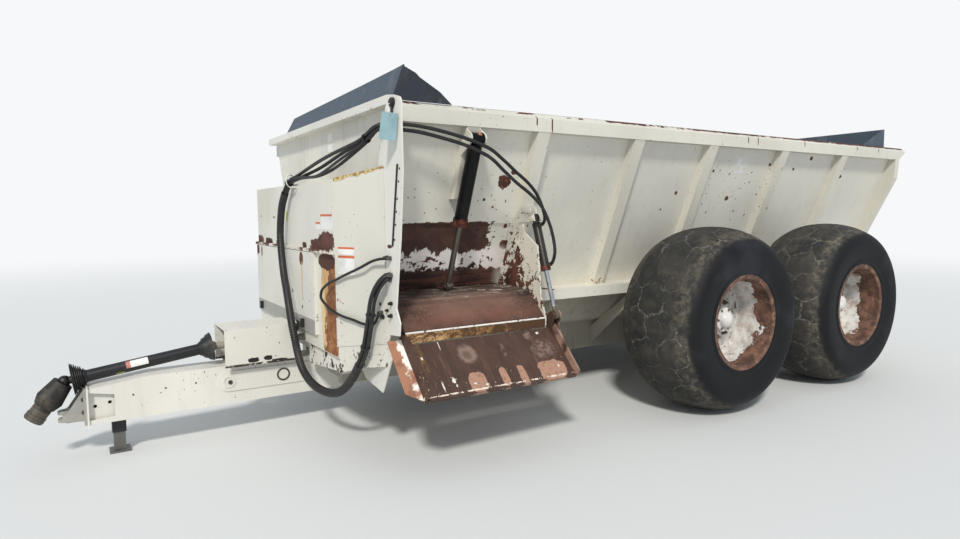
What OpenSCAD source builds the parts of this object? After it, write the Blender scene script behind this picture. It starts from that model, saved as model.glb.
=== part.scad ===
// Towed side-discharge manure spreader, parked on its jack.
// Millimetres. +X points to the rear, -Y to the discharge side, +Z up. The ground is z = 0.

/* [Wheels] */
// Tyre radius
tyre_r = 700; // [680:5:715]
// Widest width of a tyre
tyre_w = 700; // [680:5:710]
// Radius where the tyre is widest
tyre_belly_r = 530; // [510:5:550]
// Thickness of the tyre wall
tyre_t = 28; // [20:1:34]
// Radius of the rim flange
rim_r = 355; // [345:1:365]
// Width of the rim over its flanges
rim_w = 650; // [640:5:655]
// Thickness of the rim barrel
rim_t = 12; // [8:1:16]
// Radius of the wheel hub
hub_r = 110; // [90:5:125]
// How far the hub cap lies inside the rim's outer edge
hub_inset = 195; // [150:5:230]
// Distance between the two wheels of one side
wheelbase = 1575; // [1540:5:1620]
// Distance from the centreline to the middle of a tyre
track_half = 1465; // [1460:1:1480]

/* [Tandem axle] */
// Radius of the wheel spindle
spindle_r = 45; // [38:1:50]
// Radius of the cross axle tube
axle_r = 68; // [55:1:72]
// Height of the cross axle
axle_z = 480; // [470:1:488]
// Depth of the walking beam
beam_depth = 150; // [120:5:170]
// Width of the walking beam
beam_w = 90; // [70:2:96]

/* [Tank] */
// Front face of the tank's front wall
tank_x0 = -2028; // [-2040:1:-2020]
// Rear face of the tank's rear wall
tank_x1 = 3700; // [3650:5:3740]
// Angle of the side walls from the vertical
wall_slope = 22; // [21.5:0.1:22.4]
// Thickness of wall sheets
wall_t = 6; // [5:0.5:8]
// Distance from the centreline to a side rail's outer face
rail_half = 1305; // [1300:1:1310]
// Height of a side rail's underside
rail_z = 2034; // [2025:1:2045]
// Height of a side rail's upright face
rail_face = 85; // [70:1:95]
// Rise of a side rail's sloping top above its face
rail_top = 37; // [25:1:45]
// Width of a side rail
rail_w = 80; // [75:1:90]
// Overhang of the side rails behind the rear wall
rail_tail = 145; // [100:5:160]
// Width of a rib
rib_w = 100; // [80:5:110]
// Depth of a rib
rib_d = 66; // [55:1:68]
// Height of the sill's top face
sill_z = 946; // [940:1:950]
// Height of the sill beam
sill_h = 77; // [65:1:85]
// Width of the sill beside the wall
sill_w = 180; // [165:1:190]
// Radius inside each trough
trough_r = 385; // [378:1:388]
// Height of the shelf above which the front wall stands further back
shelf_z = 1728; // [1700:1:1750]
// Height of the front rail's underside
front_rail_z = 2127; // [2120:1:2135]
// Height of the front rail
front_rail_h = 50; // [40:1:55]
// Width of the front rail
front_rail_w = 76; // [70:1:80]

/* [Augers and expeller] */
// Outside radius of an auger
auger_r = 355; // [330:1:360]
// Radius of the auger tube
auger_tube_r = 70; // [60:1:85]
// Pitch of an auger
auger_pitch = 620; // [500:10:700]
// Radius of the rotor journals
journal_r = 40; // [32:1:45]
// Swing radius of the expeller's hammers
expeller_r = 340; // [300:1:350]

/* [Discharge] */
// Front end of the discharge opening
port_x0 = -1945; // [-1955:1:-1930]
// Rear end of the discharge opening
port_x1 = -975; // [-990:1:-965]
// Height of the discharge opening's lower edge
port_z0 = 1000; // [990:1:1010]
// Height of the discharge opening's upper edge
port_z1 = 1440; // [1430:1:1450]
// Thickness of the gate and tray plates
plate_t = 8; // [6:1:10]
// Travel of the gate
gate_travel = 400; // [300:10:420]
// How far the tray's step stands out from the wall
tray_step = 319; // [305:1:330]
// Height of the tray's step
tray_step_z = 980; // [972:1:988]
// How far the tray's outer edge stands out from its step
tray_out = 178; // [170:1:185]
// Height of the tray's outer edge
tray_edge_z = 812; // [805:1:820]
// Depth of the bar under the tray's outer edge
tray_bar = 62; // [50:1:70]
// Length of the folding lip
lip_l = 372; // [350:2:390]
// Slope of the lip below level
lip_drop = 46; // [42:1:50]

/* [Front enclosure] */
// Front face of the enclosure
cover_x = -2190; // [-2200:1:-2180]
// Distance from the centreline to the enclosure's right side
cover_right = 1090; // [1070:5:1100]
// Distance from the centreline to the enclosure's left front corner
cover_left = 830; // [820:5:840]
// Height of the enclosure's lower edge
cover_z0 = 610; // [600:1:620]
// Height of the enclosure's top
cover_z1 = 1725; // [1700:5:1740]
// Height of the ledge between the two front panels
ledge_z = 1270; // [1260:1:1280]
// How far the bulkhead post stands out past the side rail
post_out = 163; // [150:1:170]

/* [Tongue] */
// Front face of the tongue
tongue_x0 = -3540; // [-3560:5:-3520]
// Rear end of the tongue
tongue_x1 = -1500; // [-1600:10:-1450]
// Width of the tongue beam
tongue_w = 220; // [200:5:230]
// Height of the tongue's underside
tongue_z0 = 228; // [220:1:235]
// Height of the tongue's top face
tongue_z1 = 486; // [480:1:490]
// Thickness of the tongue's plates
tongue_t = 10; // [8:1:12]
// Radius of the hitch pin hole
hitch_pin_r = 16; // [12:0.5:20]
// Place of the jack
jack_x = -3369; // [-3380:1:-3360]
// Outer width of the jack's tube
jack_w = 80; // [76:1:84]
// Wall of the jack's tube
jack_t = 6; // [5:0.5:8]

/* [Drive shaft] */
// Radius of the drive shaft's guard tube
guard_r = 38; // [34:1:40]
// Radius of the splined bore in the tractor end
spline_r = 17.5; // [15:0.5:20]

/* [Hidden] */
$fn = 64;
eps = 0.02;
seat = 0.3;          // gap left where a curved or soft piece rests on another
run = 0.05;          // radial clearance of a running fit
tan_wall = tan(wall_slope);
front_lean = 20.7;   // how far the front shield leans back

// places that follow from the sizes above
front_axle_x = 560;
rear_axle_x = front_axle_x + wheelbase;
axle_x = front_axle_x + wheelbase / 2;
trough_z = sill_z + 14;
wall_top_y = rail_half - rib_d - 3;
function wall_y(z) = wall_top_y - (rail_z - z) * tan_wall;
wall_h = wall_t / cos(wall_slope);
auger_y = wall_y(sill_z) - trough_r - wall_t - 1.4;
sill_half = wall_y(sill_z) + sill_w;
post_half = rail_half + post_out;
tray_step_y = wall_y(port_z0) + tray_step;
tray_edge_y = tray_step_y + tray_out;
rail_in = rail_half - rail_w;
rail_z1 = rail_z + rail_face + rail_top;
front_rail_z1 = front_rail_z + front_rail_h;
inner_x0 = tank_x0 + wall_t + 2;
inner_x1 = tank_x1 - wall_t;
rib_xs = [-920, -40, 790, 1750, 2700];
cylinder_x = -1460;
end_x = -920;

// extrudes a Y-Z outline from x0 to x1
module along_x(x0, x1) {
    translate([x0, 0, 0]) rotate([90, 0, 90]) linear_extrude(x1 - x0) children();
}
// extrudes an X-Z outline from y0 to y1
module along_y(y0, y1) {
    translate([0, y1, 0]) rotate([90, 0, 0]) linear_extrude(y1 - y0) children();
}
module box(lo, hi) {
    translate(lo) cube(hi - lo);
}
module rod_x(x0, x1, y, z, r) {
    translate([x0, y, z]) rotate([0, 90, 0]) cylinder(h = x1 - x0, r = r);
}
module rod_y(x, y0, y1, z, r) {
    translate([x, y0, z]) rotate([-90, 0, 0]) cylinder(h = y1 - y0, r = r);
}

// a bar between two points of one Y-Z plane
module rod_yz(x, a, b, r) {
    d = b - a;
    translate([x, a[0], a[1]]) rotate([atan2(d[1], d[0]) - 90, 0, 0]) cylinder(h = norm(d), r = r);
}

// tubes swept along points chosen by hand
function unit(v) = v / norm(v);
function heading(p, i) = unit(p[min(i + 1, len(p) - 1)] - p[max(i - 1, 0)]);
function square_to(v, t) = unit(v - (v * t) * t);
function side_vectors(p) = [
    for (i = 0, v = square_to([0.3, 0.4, 0.87], heading(p, 0)); i < len(p);
         i = i + 1, v = i < len(p) ? square_to(v, heading(p, i)) : v) v
];
module hose(p, r, sides = 8) {
    n = len(p);
    v = side_vectors(p);
    rings = [
        for (i = [0 : n - 1], k = [0 : sides - 1])
            p[i] + r * (cos(360 * k / sides) * v[i] + sin(360 * k / sides) * cross(heading(p, i), v[i]))
    ];
    walls = [
        for (i = [0 : n - 2], k = [0 : sides - 1], half = [0, 1])
            let (a = i * sides + k, b = i * sides + (k + 1) % sides)
                half == 0 ? [a, a + sides, b] : [b, a + sides, b + sides]
    ];
    polyhedron(
        points = rings,
        faces = concat(
            walls,
            [[for (k = [0 : sides - 1]) k]],
            [[for (k = [sides - 1 : -1 : 0]) (n - 1) * sides + k]]
        ),
        convexity = 10
    );
}

// wheels

module tyre(x, side) {
    a = tyre_w / 2;
    b = tyre_r - tyre_belly_r;
    bead = rim_w / 2 - rim_t;
    foot_r = rim_r - 22;
    outer = concat(
        [for (t = [0 : 12 : 180]) [a * cos(t), tyre_belly_r + b * sin(t)]],
        [[-a + 3, 470], [-a + 16, 405], [-bead, rim_r + 6], [-bead, foot_r]]
    );
    inner = concat(
        [[-bead + tyre_t, foot_r], [-bead + tyre_t, rim_r + 6], [-a + 16 + tyre_t, 405],
        [-a + 3 + tyre_t, 470]],
        [for (t = [180 : -12 : 0]) [(a - tyre_t) * cos(t), tyre_belly_r + (b - tyre_t) * sin(t)]],
        [[a - 3 - tyre_t, 470], [a - 16 - tyre_t, 405], [bead - tyre_t, rim_r + 6], [bead - tyre_t, foot_r]],
        [[bead, foot_r], [bead, rim_r + 6], [a - 16, 405], [a - 3, 470]]
    );
    translate([x, side * track_half, tyre_r]) rotate([-90, 0, 0])
        rotate_extrude($fn = 96) polygon([for (q = concat(outer, inner)) [q[1], q[0]]]);
}
module rim(x, side) {
    half = rim_w / 2;
    barrel = rim_r - 22 - seat;
    disc = 20;
    hub_out = half - hub_inset;
    hub_in = -half + 15;
    bore_end = hub_out - 60;
    // columns: radius, distance from the rim's middle towards the outer side
    profile = [
        [0, hub_out], [hub_r - 30, hub_out], [hub_r - 12, hub_out - 12], [hub_r - 8, hub_out - 60],
        [hub_r + 65, hub_out - 74], [barrel - rim_t - 60, disc], [barrel - rim_t, disc + 4],
        [barrel - rim_t, half - 8], [rim_r - 6, half + 6 - 6], [rim_r, half - 3], [rim_r, half - rim_t + 1],
        [barrel, half - rim_t + 1], [barrel, -half + rim_t - 1], [rim_r, -half + rim_t - 1],
        [rim_r, -half + 3], [rim_r - 6, -half], [barrel - rim_t, -half + 8],
        [barrel - rim_t, disc - 16], [barrel - rim_t - 56, disc - 16], [hub_r + 62, hub_out - 90],
        [hub_r - 8, hub_out - 80], [hub_r - 20, hub_in],
        [spindle_r + run, hub_in], [spindle_r + run, bore_end], [0, bore_end]
    ];
    translate([x, side * track_half, tyre_r]) rotate([-90 * side, 0, 0])
        rotate_extrude($fn = 96) polygon(profile);
}
// X-Z outline of a walking beam, moved in by t
module beam_outline(t) {
    d = beam_depth / 2 - t;
    polygon([
        [front_axle_x - 100 + t, tyre_r - 75 + t], [axle_x - 180, axle_z - d],
        [axle_x + 180, axle_z - d], [rear_axle_x + 100 - t, tyre_r - 75 + t],
        [rear_axle_x + 100 - t, tyre_r + 65 - t], [rear_axle_x - 60, tyre_r + 75 - t],
        [axle_x + 160, axle_z + d], [axle_x - 160, axle_z + d],
        [front_axle_x + 60, tyre_r + 75 - t], [front_axle_x - 100 + t, tyre_r + 65 - t]
    ]);
}
beam_y = track_half - tyre_w / 2 - 30 - beam_w;
module axle_tube() color("#c9c6b8") {
    rod_y(axle_x, -beam_y, beam_y, axle_z, axle_r);
}
module walking_beams() color("#c9c6b8") {
    spindle_end = track_half + rim_w / 2 - hub_inset - 70;
    for (side = [0, 1]) mirror([0, side, 0]) {
        difference() {
            along_y(beam_y, beam_y + beam_w) beam_outline(0);
            along_y(beam_y + 12, beam_y + beam_w - 12) beam_outline(12);
        }
        for (x = [front_axle_x, rear_axle_x]) rod_y(x, beam_y + beam_w - 5, spindle_end, tyre_r, spindle_r);
    }
}

// chassis and tongue

rail_gap = auger_y - 45;
chassis_z0 = 335;
chassis_z1 = trough_z - trough_r - wall_t - seat;
module chassis() color("#cfccbf") {
    difference() {
        union() {
            for (side = [-1, 1]) {
                y0 = side > 0 ? rail_gap : -rail_gap - 90;
                difference() {
                    box([tank_x0, y0, chassis_z0], [tank_x1 - 20, y0 + 90, chassis_z1]);
                    box([tank_x0 + 8, y0 + 8, chassis_z0 + 8], [tank_x1 - 28, y0 + 82, chassis_z1 - 8]);
                }
            }
            for (x = [tank_x0 + 20, -1560, -300, 900, 1750, 2600, tank_x1 - 140])
                difference() {
                    box([x, -rail_gap - 1, chassis_z0 + 20], [x + 80, rail_gap + 1, chassis_z0 + 120]);
                    box([x + 6, -rail_gap + 1, chassis_z0 + 26], [x + 74, rail_gap - 1, chassis_z0 + 114]);
                }
            for (x = [-1900, -600, 250, 2500, 3550], side = [-1, 1])
                along_x(x, x + 12) polygon([
                    [side * (rail_gap + 89), chassis_z0 + 30], [side * (rail_gap + 89), chassis_z1 - 60],
                    [side * (sill_half - 40), sill_z - sill_h], [side * (sill_half - 5), sill_z - sill_h],
                    [side * (sill_half - 5), sill_z - sill_h - 60]
                ]);
        }
        rod_y(axle_x, -600, 600, axle_z, axle_r);
        box([tank_x0 - 1, -tongue_w / 2, tongue_z0], [tongue_x1, tongue_w / 2, tongue_z1]);
        for (side = [-1, 1]) rod_x(tank_x0 - 1, tank_x1, side * auger_y, trough_z, trough_r + wall_t + seat);
    }
}
module tongue() color("#dad7ca") {
    h = tongue_w / 2;
    difference() {
        along_y(-h, h) polygon([
            [tongue_x0 + 10, tongue_z0 - 6], [tongue_x1, tongue_z0],
            [tongue_x1, tongue_z1], [tongue_x0 + 350, tongue_z1], [tongue_x0 + 10, tongue_z1 - 40]
        ]);
        along_y(-h + tongue_t, h - tongue_t) polygon([
            [tongue_x0 + 20, tongue_z0 + 4], [tongue_x1 - 10, tongue_z0 + 10],
            [tongue_x1 - 10, tongue_z1 - 10], [tongue_x0 + 352, tongue_z1 - 10],
            [tongue_x0 + 20, tongue_z1 - 49]
        ]);
        // recessed webs behind the front plate
        for (side = [-1, 1]) {
            y0 = side > 0 ? h - 40 : -h - 1;
            along_y(y0, y0 + 41) polygon([
                [tongue_x0 + 10, tongue_z0 + 20], [tongue_x0 + 150, tongue_z0 + 28],
                [tongue_x0 + 150, tongue_z1 - 90], [tongue_x0 + 10, tongue_z1 - 62]
            ]);
        }
        box(
            [jack_x - jack_w / 2, -jack_w / 2, tongue_z0 - 20],
            [jack_x + jack_w / 2, jack_w / 2, tongue_z0 + 30]
        );
    }
    for (side = [-1, 1]) {
        y0 = side > 0 ? h - 41 : -h + 31;
        along_y(y0, y0 + 10) difference() {
            polygon([
                [tongue_x0 + 10, tongue_z0 + 4], [tongue_x0 + 160, tongue_z0 + 10],
                [tongue_x0 + 160, tongue_z1 - 60], [tongue_x0 + 10, tongue_z1 - 46]
            ]);
            for (q = [[45, 100], [125, 115]]) translate([tongue_x0 + q[0], tongue_z0 + q[1]]) circle(r = 11);
        }
        // reinforcing strap with a round end
        y1 = side > 0 ? h : -h - 8;
        along_y(y1, y1 + 8) union() {
            translate([tongue_x0 + 830, tongue_z0 + 150]) circle(r = 68);
            translate([tongue_x0 + 830, tongue_z0 + 82]) square([560, 136]);
        }
        y2 = side > 0 ? h + 8 : -h - 14;
        along_y(y2, y2 + 6) translate([tongue_x0 + 830, tongue_z0 + 150]) difference() {
            circle(r = 42);
            circle(r = 30);
        }
    }
    box([tongue_x0, -h - 12, tongue_z0 - 24], [tongue_x0 + 10.1, h + 12, tongue_z1 - 30]);
}
hitch_hole_x = tongue_x0 - 110;
module hitch() color("#9a9a98") {
    difference() {
        union() {
            box([tongue_x0 - 16, -95, tongue_z0 - 10], [tongue_x0, 95, tongue_z1 - 40]);
            for (z = [tongue_z0 + 14, tongue_z0 + 62]) {
                box([hitch_hole_x, -60, z], [tongue_x0 - 15, 60, z + 20]);
                translate([hitch_hole_x, 0, z]) cylinder(h = 20, r = 44);
            }
            for (y = [-72, 60])
                along_y(y, y + 12) polygon([
                    [tongue_x0 - 15, tongue_z0 + 14], [tongue_x0 - 15, tongue_z1 - 50],
                    [hitch_hole_x + 10, tongue_z0 + 82], [hitch_hole_x - 20, tongue_z0 + 66],
                    [hitch_hole_x - 20, tongue_z0 + 24]
                ]);
        }
        translate([hitch_hole_x, 0, 0]) cylinder(h = 600, r = hitch_pin_r);
    }
}
jack_z0 = 130;
module jack_tube() color("#1e1f21") {
    w = jack_w / 2;
    difference() {
        box([jack_x - w, -w, jack_z0], [jack_x + w, w, tongue_z1 - 52]);
        box(
            [jack_x - w + jack_t, -w + jack_t, jack_z0 - 1],
            [jack_x + w - jack_t, w - jack_t, tongue_z1 - 52 - jack_t]
        );
    }
}
module jack_leg() color("#8b8f92") {
    w = jack_w / 2 - jack_t - seat;
    box([jack_x - w, -w, 11], [jack_x + w, w, 300]);
    box([jack_x - 60, -60, 0], [jack_x + 60, 60, 12]);
}

// tank

// Y-Z outline of one side wall, thin and sloping
module wall_outline(side, z0, z1, t = wall_h) {
    polygon([
        [side * wall_y(z0), z0], [side * (wall_y(z0) - t), z0],
        [side * (wall_y(z1) - t), z1], [side * wall_y(z1), z1]
    ]);
}
module tank_left() color("#d8d5c6") {
    difference() {
        along_x(inner_x0, inner_x1) wall_outline(-1, sill_z, rail_z);
        box([port_x0, -post_half, port_z0], [port_x1, -auger_y, port_z1]);
    }
}
module tank_right() color("#d8d5c6") {
    difference() {
        along_x(inner_x0, inner_x1) wall_outline(1, sill_z, rail_z);
        box([tank_x0, 0, shelf_z - 8], [tank_x0 + front_rail_w + 8, post_half, rail_z + 1]);
    }
}
// Y-Z outline of the tank's outside, from the troughs up to height z1
module tank_outline(z1) {
    polygon([
        [-wall_y(z1), z1], [-wall_y(sill_z), sill_z], [-auger_y, trough_z - 80], [auger_y, trough_z - 80],
        [wall_y(sill_z), sill_z], [wall_y(z1), z1]
    ]);
    for (side = [-1, 1]) intersection() {
        translate([side * auger_y, trough_z]) circle(r = trough_r + wall_t);
        translate([side * auger_y - 500, trough_z - 600]) square([1000, 600 - 14]);
    }
}
module tank_front() color("#d8d5c6") {
    upper_x = tank_x0 + front_rail_w;
    pocket = wall_h + gate_gap + plate_t + 6.5;
    pocket_z1 = gate_pin_z - 60;
    difference() {
        along_x(tank_x0, inner_x0) tank_outline(shelf_z);
        for (side = [-1, 1]) rod_x(tank_x0 - 1, inner_x0 + 1, side * auger_y, trough_z, journal_r + run);
    }
    // shelf, and the upper part behind it
    along_x(inner_x0 - 1, upper_x + 8) polygon([
        [-wall_y(shelf_z - 8) + pocket, shelf_z - 8], [wall_y(shelf_z - 8), shelf_z - 8],
        [wall_y(shelf_z), shelf_z], [-wall_y(shelf_z - 8) + pocket, shelf_z]
    ]);
    along_x(upper_x, upper_x + 8) polygon([
        [-wall_y(shelf_z) + pocket, shelf_z - 1], [wall_y(shelf_z) - 1, shelf_z - 1],
        [wall_y(rail_z), rail_z],
        [rail_in, rail_z], [rail_in, front_rail_z1], [-rail_in, front_rail_z1],
        [-rail_in, rail_z], [-wall_y(rail_z) + wall_h + seat, rail_z],
        [-wall_y(pocket_z1) + wall_h + seat, pocket_z1], [-wall_y(pocket_z1) + pocket, pocket_z1]
    ]);
    // pocket beside the left wall, for the gate's front edge
    along_x(inner_x0 - 1, upper_x + 1) polygon([
        [-wall_y(shelf_z - 8) + pocket, shelf_z - 8], [-wall_y(pocket_z1) + pocket, pocket_z1],
        [-wall_y(pocket_z1) + wall_h + seat, pocket_z1],
        [-wall_y(pocket_z1 + 8) + wall_h + seat, pocket_z1 + 8],
        [-wall_y(pocket_z1 + 8) + pocket + wall_t, pocket_z1 + 8],
        [-wall_y(shelf_z - 8) + pocket + wall_t, shelf_z - 8]
    ]);
}
module tank_rear() color("#d8d5c6") {
    difference() {
        union() {
            along_x(inner_x1, tank_x1) tank_outline(rail_z);
            box([inner_x1, -rail_in + seat, rail_z - 1], [tank_x1, rail_in - seat, rail_z + 60]);
            for (y = [-560, 0, 560])
                box([tank_x1 - eps, y - 45, sill_z - 40], [tank_x1 + 70, y + 45, rail_z + 20]);
            box([tank_x1 - eps, -rail_in + 45, rail_z + 12], [tank_x1 + 80, rail_in - 45, rail_z + 82]);
            box(
                [tank_x1 - eps, -wall_y(sill_z) + 16, sill_z - 60],
                [tank_x1 + 60, wall_y(sill_z) - 16, sill_z]
            );
            for (side = [-1, 1]) rod_x(tank_x1 - eps, tank_x1 + 50, side * auger_y, trough_z, 95);
        }
        for (side = [-1, 1]) rod_x(inner_x1 - 1, tank_x1 + 30, side * auger_y, trough_z, journal_r + run);
    }
}
module tank_floor() color("#8e8b80") {
    h = trough_z - 14;
    ridge_half = auger_y - trough_r + 41;
    along_x(inner_x0, inner_x1) difference() {
        intersection() {
            union() {
                for (side = [-1, 1]) translate([side * auger_y, trough_z]) circle(r = trough_r + wall_t);
                translate([-ridge_half, trough_z - 120]) square([2 * ridge_half, 300]);
            }
            translate([-1000, 0]) square([2000, h]);
        }
        for (side = [-1, 1]) translate([side * auger_y, trough_z]) circle(r = trough_r);
    }
    // bearing stand between the expeller and the left auger
    difference() {
        union() {
            box([end_x - 6, -auger_y - 60, trough_z - trough_r - 2], [end_x + 6, -auger_y + 60, trough_z]);
            rod_x(end_x - 14, end_x + 14, -auger_y, trough_z, 70);
        }
        rod_x(end_x - 20, end_x + 20, -auger_y, trough_z, journal_r + run);
    }
}

// side frames: rail, ribs and sill of one side, welded together

module rail_outline(side, t = 0) {
    polygon([
        [side * (rail_in + t), rail_z + t], [side * (rail_half - t), rail_z + t],
        [side * (rail_half - t), rail_z + rail_face - t * 0.6],
        [side * (rail_half - 50 - t * 0.3), rail_z1 - t],
        [side * (rail_in + t), rail_z1 - t]
    ]);
}
module rib(side, x, z0, z1) {
    difference() {
        along_x(x - rib_w / 2, x + rib_w / 2) wall_outline(side, z0, z1, -rib_d);
        along_x(x - rib_w / 2 + wall_t, x + rib_w / 2 - wall_t)
            wall_outline(side, z0 - 1, z1 + 1, -rib_d + wall_t);
    }
}
module sill(side, x0, x1) {
    difference() {
        along_x(x0, x1) polygon([
            [side * wall_y(sill_z), sill_z], [side * sill_half, sill_z], [side * sill_half, sill_z - sill_h],
            [side * (wall_y(sill_z) - 2), sill_z - sill_h]
        ]);
        along_x(x0 - 1, x1 - wall_t) polygon([
            [side * (wall_y(sill_z) + wall_t), sill_z - wall_t],
            [side * (sill_half - wall_t), sill_z - wall_t],
            [side * (sill_half - wall_t), sill_z - sill_h + wall_t],
            [side * (wall_y(sill_z) + wall_t), sill_z - sill_h + wall_t]
        ]);
        rod_x(tank_x0 - 2, tank_x1 + 2, side * auger_y, trough_z, trough_r + wall_t + seat);
    }
}
module side_rail(side, x0) {
    tail = tank_x1 + rail_tail;
    difference() {
        along_x(x0, tail) rail_outline(side);
        along_x(x0 + wall_t, tail - wall_t) rail_outline(side, wall_t);
        // the tail is cut off on a slant
        along_y(-post_half, post_half)
            polygon([[tail - 130, rail_z - 1], [tail + 1, rail_z - 1], [tail + 1, rail_z + rail_face]]);
    }
}
module rear_corner(side) {
    along_x(tank_x1 - rib_w / 2, tank_x1 + 20) polygon([
        [side * wall_y(rail_z), rail_z], [side * rail_half, rail_z], [side * (rail_half - 12), rail_z - 190],
        [side * (wall_y(sill_z) + rib_d), sill_z], [side * wall_y(sill_z), sill_z]
    ]);
}
module side_rails() color("#dedbce") {
    for (side = [-1, 1]) side_rail(side, tank_x0 + front_rail_w);
}
module ribs() color("#dedbce") {
    for (x = rib_xs) rib(1, x, sill_z, rail_z);
    for (k = [1 : len(rib_xs) - 1]) rib(-1, rib_xs[k], sill_z, rail_z);
    rib(1, -1700, sill_z, rail_z);
    for (side = [-1, 1]) rear_corner(side);
}
// the two left ribs that carry cylinders
module cylinder_ribs() color("#dedbce") {
    rib(-1, rib_xs[0], sill_z, rail_z);
    translate([0, -run, 0]) rib(-1, cylinder_x, port_z1 + 160, rail_z);
    // ears and pin for the gate cylinder, on the short rib
    c = gate_axis(0);
    difference() {
        for (dx = [-57, 45]) along_x(cylinder_x + dx, cylinder_x + dx + 12) polygon([
            c + [-24, -24], c + [-34, 0], c + [-24, 24],
            [-wall_y(gate_pin_z + 60) - rib_d + 4, gate_pin_z + 60],
            [-wall_y(gate_pin_z - 100) - rib_d + 4, gate_pin_z - 100]
        ]);
        along_x(cylinder_x - 60, cylinder_x + 60) wall_outline(-1, sill_z, rail_z + 40, wall_h + 30);
    }
    rod_x(cylinder_x - 62, cylinder_x + 62, c[0], c[1], gate_pin_r);
    // ears and pin for the lip cylinder, on a plate across the first full rib
    for (dx = [-30, 20]) along_x(lip_cyl_x + dx, lip_cyl_x + dx + 10) polygon([
        lip_top + [-30, -20], lip_top + [-14, 30], lip_top + [20, 34],
        [-wall_y(bracket_z1) - rib_d + 2, bracket_z1], [-wall_y(bracket_z0) - rib_d + 2, bracket_z0]
    ]);
    along_x(end_x - rib_w / 2, lip_cyl_x + 30) polygon([
        [-wall_y(bracket_z0) - rib_d + 1, bracket_z0], [-wall_y(bracket_z0) - rib_d - 8, bracket_z0],
        [-wall_y(bracket_z1) - rib_d - 8, bracket_z1], [-wall_y(bracket_z1) - rib_d + 1, bracket_z1]
    ]);
    rod_x(lip_cyl_x - 36, lip_cyl_x + 36, lip_top[0], lip_top[1], lip_top_pin_r);
}
module sills() color("#dedbce") {
    sill(-1, end_x + 6, tank_x1);
    sill(1, inner_x0, tank_x1);
}
module front_rail() color("#dedbce") {
    left = -wall_y(front_rail_z) - 2;
    right = rail_half - 40;
    difference() {
        box([tank_x0, left, front_rail_z], [tank_x0 + front_rail_w, right, front_rail_z1]);
        box(
            [tank_x0 + wall_t, left + wall_t, front_rail_z + wall_t],
            [tank_x0 + front_rail_w - wall_t, right - wall_t, front_rail_z1 - wall_t]
        );
    }
}

// front enclosure and bulkhead

sheet_t = 5;
ledge_d = 26;
tunnel_half = 170;
tunnel_z = 745;
module enclosure() color("#d9d6c9") {
    inner_x = tank_x0;
    y0 = -cover_left;
    y1 = cover_right;
    difference() {
        union() {
            box([cover_x, y0, cover_z0], [cover_x + sheet_t, y1, cover_z1]);
            box([cover_x, y1 - sheet_t, cover_z0], [inner_x, y1, cover_z1]);
            box([cover_x, y0, cover_z1 - sheet_t], [inner_x, y1, cover_z1]);
            box([cover_x, y0, cover_z0], [inner_x, y1, cover_z0 + sheet_t]);
            box([cover_x - ledge_d, y0, ledge_z - 10], [cover_x + 1, y1, ledge_z + 10]);
            // apron below the left half, its lower edge falling towards the middle
            along_x(cover_x + 20, cover_x + 25) polygon([
                [y0 + 40, cover_z0 + 1], [y0 + 40, cover_z0 - 98], [-tunnel_half - 20, cover_z0 - 155],
                [-tunnel_half - 20, cover_z0 + 1]
            ]);
        }
        box([cover_x - 1, panel_y0 + 30, 770], [cover_x + sheet_t + 1, panel_y1 - 30, ledge_z - 26]);
        box([cover_x - 1, -tunnel_half, cover_z0 - 1], [inner_x + 1, tunnel_half, tunnel_z]);
    }
    // ring that carries the hoses
    translate([cover_x - 34, -30, cover_z1 + 24]) rotate([90, 0, 35]) rotate_extrude($fn = 32)
        translate([44, 0]) circle(r = 4.5, $fn = 16);
    rod_y(cover_x - 34, -80, -28, cover_z1 - 22, 6);
    rod_x(cover_x - 38, cover_x + 10, -80, cover_z1 - 22, 6);
}
// service panel on the enclosure's front, with a notch over the drive
panel_y0 = -460;
panel_y1 = cover_right - 30;
panel_z0 = 700;
module service_panel() color("#dddacd") {
    notch = tunnel_half + 6;
    difference() {
        box([cover_x - 22, panel_y0, panel_z0], [cover_x, panel_y1, ledge_z - 14]);
        box([cover_x - 17, panel_y0 + 5, panel_z0 + 5], [cover_x + 1, -notch - 5, ledge_z - 19]);
        box([cover_x - 17, -notch - 6, tunnel_z + 5], [cover_x + 1, notch + 6, ledge_z - 19]);
        box([cover_x - 17, notch + 5, panel_z0 + 5], [cover_x + 1, panel_y1 - 5, ledge_z - 19]);
        box([cover_x - 23, -notch, panel_z0 - 1], [cover_x + 1, notch, tunnel_z]);
    }
    for (y = [-214, 918]) box([cover_x - 46, y - 14, 720], [cover_x - 21, y + 14, 780]);
}
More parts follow.
